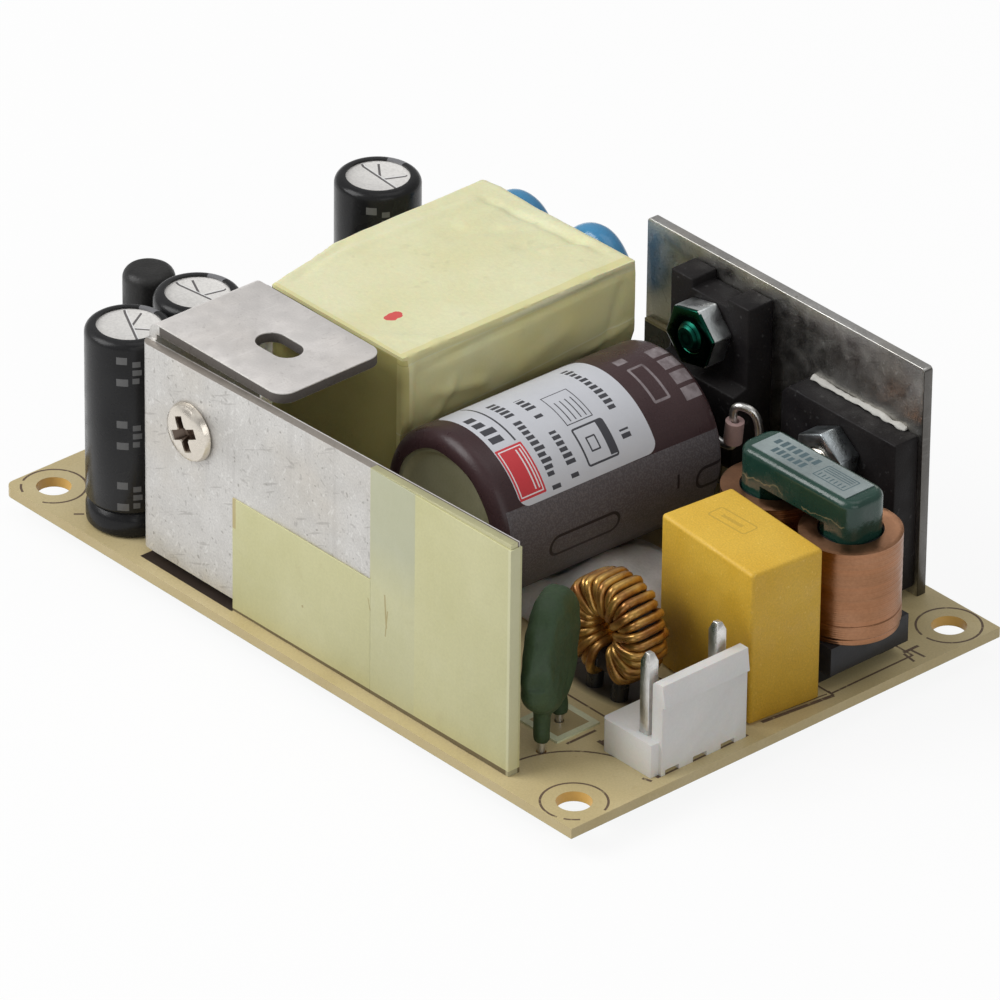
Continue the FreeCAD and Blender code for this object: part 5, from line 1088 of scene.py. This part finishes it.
def makeBulkCapacitor():
    r, length = bulkPlace()[1:]
    half = length / 2
    rim, lip, wall = bulk["rim"], r - bulk["lip"], bulk["wall"]
    # sleeve: round ends outside, the same inside, and a wavy lip
    ends = arc((r - rim, -half + rim), rim, -90, 0, 6) + arc((r - rim, half - rim), rim, 0, 90, 6)
    inner = arc((r - rim, half - rim), rim - wall, 90, 0, 4) + arc((r - rim, -half + rim), rim - wall, 0,
                                                                   -90, 4)
    profile = [(lip, -half + 0.04)] + ends + [(lip, half - 0.04),
                                              (lip, half - wall)] + inner + [(lip, -half + wall)]
    bm = turnedProfile(profile, bulk["steps"])
    for vert in bm.verts:
        away = math.hypot(vert.co.x, vert.co.y) / mm
        if away < lip + 0.05:
            turn = math.atan2(vert.co.y, vert.co.x)
            place = Vector((math.cos(turn) * 2, math.sin(turn) * 2, vert.co.z * 30))
            grow = 1 + bulk["lipWave"] * noise.noise(place)
            vert.co.x *= grow
            vert.co.y *= grow
    bmesh.ops.transform(bm, matrix=bulkWay(), verts=bm.verts)
    addPiece("bulkSleeve", bm, "sleeveBrown", "bulk_sleeve")
    # can: dished end, then its side under the sleeve
    top = -half + wall + 0.02
    dish = bulk["dish"]
    profile = [(0, top + dish), (lip - 1.0, top + dish), (lip - 0.7, top + dish - 0.1),
               (lip - 0.35, top + 0.05), (lip - 0.1, top),
               (r - rim, top), (r - wall - 0.05, -half + rim), (r - wall - 0.05, half - rim),
               (r - rim, half - 0.5),
               (lip - 0.4, half - 0.5), (lip - 0.6, half - 2.0), (0, half - 2.0)]
    bm = turnedProfile(profile, bulk["steps"])
    bmesh.ops.transform(bm, matrix=bulkWay(), verts=bm.verts)
    addPiece("bulkCan", bm, "canEnd", "bulk_can")


makeBulkCapacitor()


bulkLeads = {"wire": 0.76, "sleeve": (0.86, 2.2), "sleeveAt": (1.9, 6.95, 1.7), "lean": 6,
             "drops": (1.8, 5.0), "sleeveSteps": 28,
             "nearWay": [(-1.6, 3.52, 1.28), (0.9, 3.55, 1.3), (1.6, 5.4, 0.0), (1.9, 7.1, 0.0),
                         (1.9, 6.9, 2.2), (1.95, 6.7, 4.25), (2.6, 8.2, 4.35), (3.0, 8.9, 3.4)],
             "farWay": [(-1.6, -3.52, -1.28), (1.3, -3.52, -1.28)]}


# millimetre point beyond the lead end of the big capacitor
def bulkSpot(out, x, z):
    return (bulkWay() @ Vector((x * mm, -z * mm, (bulkPlace()[2] / 2 + out) * mm))) / mm


def makeBulkLeads():
    wire = bulkLeads["wire"]
    boxes = sorted(solidBoxes("bulk_leads"), key=lambda pair: pair[1].x)
    parts = []
    for (low, high), way in zip(boxes, ("farWay", "nearWay")):
        points = [bulkSpot(*step) for step in bulkLeads[way]]
        footX = (high.x / mm - wire / 2) if way == "nearWay" else (low.x / mm + wire / 2)
        footY = high.y / mm - wire / 2
        end = points[-1].z
        points += [Vector((footX, footY, end - drop)) for drop in bulkLeads["drops"]]
        points.append(Vector((footX, footY, low.z / mm)))
        parts.append(tubeAlong(points, wire, 3, 10, 5))
    addPiece("bulkLeads", joined(parts), "tinnedLead", "bulk_leads", 50)
    r, height = bulkLeads["sleeve"]
    profile = [(wire / 2 + 0.03, -height / 2), (r, -height / 2), (r, height / 2),
               (wire / 2 + 0.03, height / 2)]
    bm = turnedProfile(profile + profile[:1], bulkLeads["sleeveSteps"])
    bmesh.ops.rotate(bm, verts=bm.verts, cent=(0, 0, 0),
                     matrix=Matrix.Rotation(math.radians(bulkLeads["lean"]), 3, "Y"))
    bmesh.ops.translate(bm, vec=bulkSpot(*bulkLeads["sleeveAt"]) * mm, verts=bm.verts)
    addPiece("bulkLeadSleeve", bm, "sleevePink", "bulk_lead_sleeve")


makeBulkLeads()
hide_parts("bulk_label")
print("bulk capacitor")


# standing output capacitors

standing = {"rim": 0.8, "lip": 1.05, "wall": 0.2, "bead": 2.35, "beadDepth": 0.4, "steps": 56,
            "printTurn": -38}


def makeStandingCapacitors():
    sleeves, cans = [], []
    for low, high in solidBoxes("capacitor_sleeves"):
        middle = (low + high) / 2
        r = (high.x - low.x) / 2 / mm
        h = (high.z - low.z) / mm
        wall, rim, bead, deep = (standing[key] for key in ("wall", "rim", "bead", "beadDepth"))
        lip = r - standing["lip"]
        base = r - 1.2
        # sleeve: up the outside past the bead, then down the inside
        outer = [(base, 0.0), (r - 0.4, 0.0), (r - 0.05, 0.35), (r, 0.8), (r, bead - 0.6),
                 (r - deep * 0.5, bead - 0.25),
                 (r - deep, bead), (r - deep * 0.5, bead + 0.25), (r, bead + 0.6)]
        outer += arc((r - rim, h - rim), rim, 0, 90, 6) + [(lip, h - 0.02)]
        inner = [(lip, h - wall), (r - rim, h - wall)] + arc((r - rim, h - rim), rim - wall, 60, 0, 3)
        inner += [(r - wall, bead + 0.7), (r - deep - wall, bead), (r - wall, bead - 0.6), (r - wall, 0.5),
                  (base, wall)]
        bm = turnedProfile(outer + inner, standing["steps"])
        layer = bm.loops.layers.uv.new("around")
        for face in bm.faces:
            middleAngle = math.atan2(face.calc_center_median().y, face.calc_center_median().x)
            middleSwing = (middleAngle - math.radians(standing["printTurn"]) + math.pi) % math.tau - math.pi
            for loop in face.loops:
                step = (math.atan2(loop.vert.co.y,
                                   loop.vert.co.x) - middleAngle + math.pi) % math.tau - math.pi
                loop[layer].uv = ((middleSwing + step) * r * mm, loop.vert.co.z)
        bmesh.ops.translate(bm, vec=(middle.x, middle.y, low.z), verts=bm.verts)
        sleeves.append(bm)
        # can: its top face, then its side under the sleeve
        dish = h - wall - 0.18
        profile = [(0, dish), (lip - 0.45, dish), (lip - 0.2, dish + 0.12), (lip + 0.15, h - wall - 0.02),
                   (r - rim, h - wall - 0.02),
                   (r - wall - 0.05, h - rim), (r - wall - 0.05, bead + 0.8), (r - deep - wall - 0.05, bead),
                   (r - wall - 0.05, bead - 0.8), (r - wall - 0.1, 0.6), (base - 0.1, 0.45),
                   (base - 0.1, 2.2), (0, 2.2)]
        bm = turnedProfile(profile, standing["steps"])
        layer = bm.loops.layers.uv.new("topFace")
        spin = Matrix.Rotation(random.uniform(-0.6, 0.6), 2)
        for face in bm.faces:
            for loop in face.loops:
                flat = spin @ Vector((loop.vert.co.x, loop.vert.co.y))
                inTop = loop.vert.co.z / mm > dish - 0.05 and face.calc_center_median().z / mm > dish - 0.05
                loop[layer].uv = flat if inTop else (0.1, 0.1)
        bmesh.ops.translate(bm, vec=(middle.x, middle.y, low.z), verts=bm.verts)
        cans.append(bm)
    addPiece("capacitorSleeves", joined(sleeves), "sleeveBlack", "capacitor_sleeves")
    addPiece("capacitorCans", joined(cans), "canAluminium", "capacitor_cans")


random.seed(7)
makeStandingCapacitors()
print("standing capacitors")


# rod choke

rod = {"round": 1.0, "footRound": 0.15, "flatTop": 0.3, "steps": 40}


def makeRodChoke():
    low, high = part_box("rod_choke")
    r = (high.x - low.x) / 2 / mm
    h = (high.z - low.z) / mm
    foot, edge = rod["footRound"], rod["round"]
    profile = [(0, 0), (r - foot, 0), (r, foot), (r, h - edge)] + arc((r - edge, h - edge), edge, 10, 80, 5)
    profile += [(r * rod["flatTop"], h - 0.02), (0, h - 0.1)]
    bm = turnedProfile(profile, rod["steps"])
    bmesh.ops.translate(bm, vec=((low.x + high.x) / 2, (low.y + high.y) / 2, low.z), verts=bm.verts)
    addPiece("rodChoke", pushed(bm, 0.05, 0.3), "rodBlack", "rod_choke")


makeRodChoke()


# transformer in its wrap

# waves as amount, noise per millimetre and seed; folds as start, end, width and depth
wrap = {"voxel": 0.33, "soft": 1, "round": 1.0, "crisp": 0.7, "wave": (0.14, 0.09, 3.0),
        "ripple": (0.05, 0.45, 9.0),
        "bulgeFrom": 13.2, "bulgeRise": 2.2, "bulge": (0.35, 0.75), "leftSlope": 2.4, "leftDrop": 0.3,
        "face": 0.5, "topFold": 0.25,
        "topFolds": [((-12.6, 12.7), (-9.5, 18.9), 0.7, -0.22), ((-10.3, 14.1), (-8.0, 18.9), 0.6, 0.22),
                     ((-18.4, 11.3), (-18.5, 17.6), 1.0, 0.20), ((-18.0, 9.1), (-14.0, 17.0), 0.8, -0.14),
                     ((-21.2, 16.6), (-6.8, 18.2), 0.5, -0.30), ((-21.6, -4.0), (-21.0, 17.0), 0.5, 0.16),
                     ((-16.0, 14.0), (-13.5, 19.0), 0.5, 0.18), ((-7.4, 8.0), (-4.6, 16.0), 0.8, 0.12),
                     ((-20.6, -6.0), (-23.4, 3.0), 0.5, -0.20), ((-9.0, -7.6), (-4.6, -3.0), 0.6, 0.10)],
        "sideFolds": [((-7.35, 15.0), (-7.25, 22.0), 0.5, 0.38), ((-6.2, 14.0), (-6.0, 21.0), 0.5, -0.22),
                      ((-5.0, 20.6), (19.0, 21.9), 0.35, -0.22), ((-4.6, 17.6), (2.0, 16.6), 0.6, 0.2),
                      ((-5.4, 13.8), (-1.6, 18.6), 0.5, 0.22), ((4.0, 16.0), (12.0, 18.6), 0.9, 0.14),
                      ((15.4, 14.0), (17.8, 21.0), 0.5, -0.18), ((13.0, 15.0), (19.0, 16.4), 0.4, 0.2)]}


# height of the soft ridges and grooves at a place on a flat face; each fades over a sixth of its length
def foldMove(place, folds):
    move = 0.0
    for start, end, width, depth in folds:
        way = Vector(end) - Vector(start)
        gap = place - Vector(start)
        share = gap.dot(way) / way.length_squared
        if -0.05 < share < 1.05:
            side = abs(gap.x * way.y - gap.y * way.x) / way.length
            if side < 3 * width:
                fade = min(1.0, 6 * max(share + 0.05, 0), 6 * max(1.05 - share, 0))
                move += depth * math.exp(-(side / width) ** 2) * fade
    return move


# narrows the rounding of a box's edges
def crisped(bm, low, high, radius, amount):
    for vert in bm.verts:
        place = vert.co / mm
        inside = Vector([min(max(place[i], low[i] + radius), high[i] - radius) for i in range(3)])
        way = place - inside
        most = max(abs(c) for c in way)
        if most > 0.3 * radius:
            vert.co = (inside + way * (1 + amount * (way.length / most - 1))) * mm
    return bm


def makeWrap():
    low, high = [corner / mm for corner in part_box("transformer_tape")]
    bm = crisped(voxelCopy("transformer_tape", wrap["voxel"], wrap["soft"]), low, high, wrap["round"],
                 wrap["crisp"])
    bm = pushed(pushed(bm, *wrap["wave"]), *wrap["ripple"])
    middle = (low.x + high.x) / 2
    near, far = wrap["bulge"]
    for vert in bm.verts:
        x, y, z = vert.co / mm
        x, y, z = (min(max(value, low[i]), high[i]) for i, value in enumerate((x, y, z)))
        rise = min(max((z - wrap["bulgeFrom"]) / wrap["bulgeRise"], 0.0), 1.0)
        along = (y - low.y) / (high.y - low.y)
        if z > high.z - wrap["face"]:
            z += foldMove(Vector((x, y)), wrap["topFolds"])
            slope = max(0.0, 1 - (x - low.x) / wrap["leftSlope"])
            z -= wrap["leftDrop"] * slope * min(1.0, along * 3)
        if x > high.x - wrap["face"]:
            x += foldMove(Vector((y, z)), wrap["sideFolds"]) * rise
        if x > middle:
            x += rise * (near + (far - near) * along) * (x - middle) / (high.x - middle)
        vert.co = Vector((x, y, min(z, high.z + wrap["topFold"]))) * mm
    addPiece("transformerWrap", bm, "tapeWrap", "transformer_tape", 50)


makeWrap()
print("transformer wrap")


# toroidal choke

coil = {"turns": 28, "wire": 0.84, "gapAngle": 15.0, "deep": 0.72, "bore": 0.605, "inFoot": 0.65}


def makeToroid():
    low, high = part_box("toroid_core")
    outer = (high.z - low.z) / 2 / mm
    inner = outer * coil["bore"]
    half = (high.y - low.y) / 2 / mm
    middle = (low + high) / 2 / mm
    wire = coil["wire"]
    span = 360 - 2 * coil["gapAngle"]
    rng = random.Random(5)
    points = []

    def put(radius, height, angle):
        a = math.radians(angle)
        points.append((middle.x + radius * math.cos(a), middle.y + height, middle.z + radius * math.sin(a)))
    start = coil["gapAngle"] - 90
    foot = [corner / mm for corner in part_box("toroid_sleeves")]
    footY = (foot[0].y + foot[1].y) / 2
    points += [(foot[1].x - coil["inFoot"], footY, cadBounds[0].z / mm),
               (foot[1].x - coil["inFoot"], footY, foot[1].z)]
    put(outer + wire * 0.4, 0, start)
    for turn in range(coil["turns"]):
        second = turn % 2
        lean = rng.uniform(-1.0, 1.0)
        angle = start + span * turn / coil["turns"]
        step = span / coil["turns"]
        out = outer + wire * 0.5 + 0.05
        bore = inner - wire * (0.5 + coil["deep"] * second)
        face = half + wire * (0.52 + 0.35 * second)
        oneTurn = [(0.0, out, half * 0.7), (0.04, out - wire * 0.15, face * 0.9),
                   (0.1, out * 0.86, face + 0.1),
                   (0.2, (out + bore) / 2, face + 0.15), (0.32, bore + wire * 0.3, face * 0.95),
                   (0.4, bore, half * 0.5), (0.5, bore, -half * 0.5), (0.6, bore + wire * 0.3, -face * 0.95),
                   (0.72, (out + bore) / 2, -face - 0.15), (0.85, out * 0.86, -face - 0.1),
                   (0.93, out - wire * 0.15, -face * 0.9), (0.98, out, -half * 0.7)]
        for share, radius, height in oneTurn:
            put(radius, height, angle + lean * (0.6 if radius > inner else 1.5) + step * share)
    put(outer + wire * 0.4, 0, start + span)
    points += [(foot[0].x + coil["inFoot"], footY, foot[1].z),
               (foot[0].x + coil["inFoot"], footY, cadBounds[0].z / mm)]
    addPiece("toroidWinding", tubeAlong(points, wire, 3, 3, 2), "wireAmber", "toroid_winding", 60)


makeToroid()


leadSleeves = {"outer": 0.78, "bore": 0.46, "height": 3.0, "round": 0.25, "lean": 0.12, "steps": 28}


def makeLeadSleeves():
    parts = []
    r, bore, h, edge = (leadSleeves[key] for key in ("outer", "bore", "height", "round"))
    for low, high in solidBoxes("toroid_sleeves"):
        middle = (low + high) / 2
        profile = [(bore, 0), (r, 0)] + arc((r - edge, h - edge), edge, 0, 80, 4) + [(bore, h)]
        bm = turnedProfile(profile, leadSleeves["steps"])
        for vert in bm.verts:
            vert.co.y += leadSleeves["lean"] * vert.co.z
        bmesh.ops.translate(bm, vec=(middle.x, middle.y, low.z), verts=bm.verts)
        parts.append(bm)
    addPiece("toroidSleeves", joined(parts), "tubeBlack", "toroid_sleeves", 50)


makeLeadSleeves()
print("toroid")


# common mode choke windings

choke = {"turns": 44, "depth": 0.05, "steps": 72, "wall": 1.0, "lipReach": 0.75, "lip": 0.14, "inset": 0.05,
         "uneven": 0.02, "footShare": 0.06, "footStep": 0.08, "beltShare": 0.20, "beltStep": 0.05}


def makeChokeWindings():
    rng = random.Random(3)
    parts = []
    for low, high in solidBoxes("choke_windings"):
        r = (high.x - low.x) / 2 / mm
        h = (high.z - low.z) / mm
        pitch = h / choke["turns"]
        profile = []
        for turn in range(choke["turns"]):
            z = turn * pitch
            share = turn / choke["turns"]
            inset = choke["inset"] + rng.uniform(0, choke["uneven"])
            if share < choke["footShare"]:
                inset += choke["footStep"]
            elif share < choke["beltShare"]:
                inset -= choke["beltStep"]
            profile += [(r - choke["depth"] - inset, z + 0.02 * pitch), (r - inset - 0.02, z + 0.3 * pitch),
                        (r - inset - 0.02, z + 0.7 * pitch)]
        bore = r - choke["wall"]
        reach, under = bore - choke["lipReach"], h - choke["lip"]
        profile += [(r - 0.32, h - 0.02), (r - 0.5, h), (reach, h), (reach, under), (bore, under), (bore, 0)]
        bm = turnedProfile(profile, choke["steps"])
        bmesh.ops.translate(bm, vec=((low.x + high.x) / 2, (low.y + high.y) / 2, low.z), verts=bm.verts)
        parts.append(bm)
    addPiece("chokeWindings", joined(parts), "copperWire", "choke_windings", 75)


makeChokeWindings()
print("choke windings")


# dipped and smeared shapes

# amounts in millimetres, noise per millimetre and a seed for each wave
soft = {"sealantVoxel": 0.35, "sealantWave": (0.5, 0.35, 1.0), "pasteVoxel": 0.09,
        "pasteWave": (0.2, 1.1, 6.0)}
dip = {"voxel": 0.22, "swell": (0.36, 0.17, 8.0), "lumps": (0.16, 0.7, 2.0), "turn": 47.98, "flat": 0.11,
       "from": 5.0, "to": 8.0, "dent": 0.35, "dentWide": 0.8, "dentAt": -1.3, "dentLean": 0.12}


def makeThermistor():
    bm = pushed(voxelCopy("thermistor_disc", dip["voxel"], 3), *dip["swell"])
    bm = pushed(bm, *dip["lumps"])
    low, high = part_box("thermistor_disc")
    centre = (low + high) / 2
    turn = math.radians(dip["turn"])
    across = Vector((math.cos(turn), math.sin(turn), 0))
    inwards = Vector((-across.y, across.x, 0))
    for vert in bm.verts:
        share = max(0.0, min(1.0, (vert.co.z / mm - dip["from"]) / (dip["to"] - dip["from"])))
        off = (vert.co - centre).dot(across)
        vert.co -= across * off * dip["flat"] * share
        near = (off / mm - dip["dentAt"] - (vert.co.z - centre.z) / mm * dip["dentLean"]) / dip["dentWide"]
        if vert.co.z > centre.z:
            vert.co += inwards * dip["dent"] * mm * share * math.exp(-near * near)
    addPiece("thermistor", bm, "coatGreen", "thermistor_disc", 80)


makeThermistor()
sealantSkin = pushed(voxelCopy("sealant", soft["sealantVoxel"], 2), *soft["sealantWave"])
addPiece("sealantBead", sealantSkin, "sealantWhite", "sealant", 80)
pasteSkin = pushed(voxelCopy("heat_paste", soft["pasteVoxel"], 1), *soft["pasteWave"])
addPiece("heatPaste", pasteSkin, "pasteWhite", "heat_paste", 80)
print("dipped shapes")


# screws

# pan head screw along Z with its head up, threads as rings
def screwShape(length):
    r = screws["head"] / 2
    h = screws["headHeight"]
    s = screws["shank"] / 2
    count = int(length / screws["pitch"])
    profile = [(0, -length), (s * 0.7, -length), (s * 0.86, -length + 0.2)]
    for i in range(count):
        z = -length + 0.3 + i * screws["pitch"]
        if z < -0.4:
            profile += [(s * 0.86, z), (s, z + screws["pitch"] * 0.45)]
    profile += [(s, 0), (r - 0.15, 0), (r, 0.14), (r - 0.05, 0.32)]
    profile += [(r * 0.93, h * 0.62), (r * 0.78, h * 0.88), (r * 0.5, h), (0, h)]
    return turnedProfile(profile, 48)


def crossCutter(h):
    parts = []
    for turn in (0, 90):
        bm = bmesh.new()
        bmesh.ops.create_cube(bm, size=1.0)
        bmesh.ops.scale(bm, verts=bm.verts,
                        vec=[screws[key] * mm for key in ("cross", "crossWidth", "crossBlock")])
        for vert in bm.verts:
            if vert.co.z < 0:
                vert.co.x *= screws["crossTaper"][0]
                vert.co.y *= screws["crossTaper"][1]
        bmesh.ops.translate(bm, vec=(0, 0, (h + screws["crossLift"]) * mm), verts=bm.verts)
        bmesh.ops.rotate(bm, verts=bm.verts, cent=(0, 0, 0),
                         matrix=Matrix.Rotation(math.radians(turn), 3, "Z"))
        parts.append(bm)
    bm = bmesh.new()
    bmesh.ops.create_cone(bm, cap_ends=True, segments=24, radius1=screws["coneFoot"] * mm,
                          radius2=screws["coneTop"] * mm, depth=screws["coneDepth"] * mm,
                          matrix=Matrix.Translation((0, 0, (h - screws["coneDown"]) * mm)))
    parts.append(bm)
    return parts


# takes each cutter out of a shape with the Boolean modifier
def cutBy(bm, cutters):
    carriers = []
    for shape in [bm] + cutters:
        mesh = bpy.data.meshes.new("cut")
        shape.to_mesh(mesh)
        shape.free()
        carrier = bpy.data.objects.new("cut", mesh)
        bpy.context.scene.collection.objects.link(carrier)
        carriers.append(carrier)
    for other in carriers[1:]:
        change = carriers[0].modifiers.new("cut", "BOOLEAN")
        change.operation = "DIFFERENCE"
        change.solver = "EXACT"
        change.object = other
    ready = bpy.data.meshes.new_from_object(carriers[0].evaluated_get(bpy.context.evaluated_depsgraph_get()))
    out = bmesh.new()
    out.from_mesh(ready)
    for carrier in carriers:
        bpy.data.objects.remove(carrier)
    bpy.data.meshes.remove(ready)
    return out


def makeScrews():
    for name, node, towards in (("frontScrew", "short_screw", -1), ("backScrews", "long_screws", 1)):
        parts = []
        for low, high in solidBoxes(node):
            middle = (low + high) / 2
            length = (high.y - low.y) / mm - screws["headHeight"]
            bm = cutBy(screwShape(length), crossCutter(screws["headHeight"]))
            layer = bm.loops.layers.uv.new("head")
            for face in bm.faces:
                for loop in face.loops:
                    loop[layer].uv = (loop.vert.co.z, math.hypot(loop.vert.co.x, loop.vert.co.y))
            turn = Matrix.Rotation(math.radians(screws["crossTurn"]), 4, "Z")
            lay = Matrix.Rotation(math.radians(90 if towards < 0 else -90), 4, "X")
            head = screws["headHeight"] * mm
            seat = low.y + head if towards < 0 else high.y - head
            place = Matrix.Translation((middle.x, seat, middle.z))
            bmesh.ops.transform(bm, matrix=place @ lay @ turn, verts=bm.verts)
            parts.append(bm)
        addPiece(name, joined(parts), "screwNickel", node, 32)


makeScrews()
print("screws")


# solder joints under the board

# shares of the joint's radius and height, from the board down
solder = {"outline": [(1, 0), (0.78, 0.22), (0.58, 0.5), (0.48, 0.85), (0.4, 1)], "steps": 14}


def makeJoints():
    parts = []
    for low, high in solidBoxes("solder_joints"):
        middle = (low + high) / 2
        wide = (high.x - low.x) / 2 / mm
        tall = (high.z - low.z) / mm
        curve = [(wide * across, -tall * down) for across, down in solder["outline"]]
        bm = turnedProfile([(0, 0)] + curve + [(0, -tall)], solder["steps"])
        bmesh.ops.translate(bm, vec=(middle.x, middle.y, high.z), verts=bm.verts)
        parts.append(bm)
    addPiece("solderJoints", joined(parts), "solderBright", "solder_joints", 60)


makeJoints()
print("solder joints")

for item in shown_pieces():
    if not item.data.materials:
        print("no finish on", item.name)
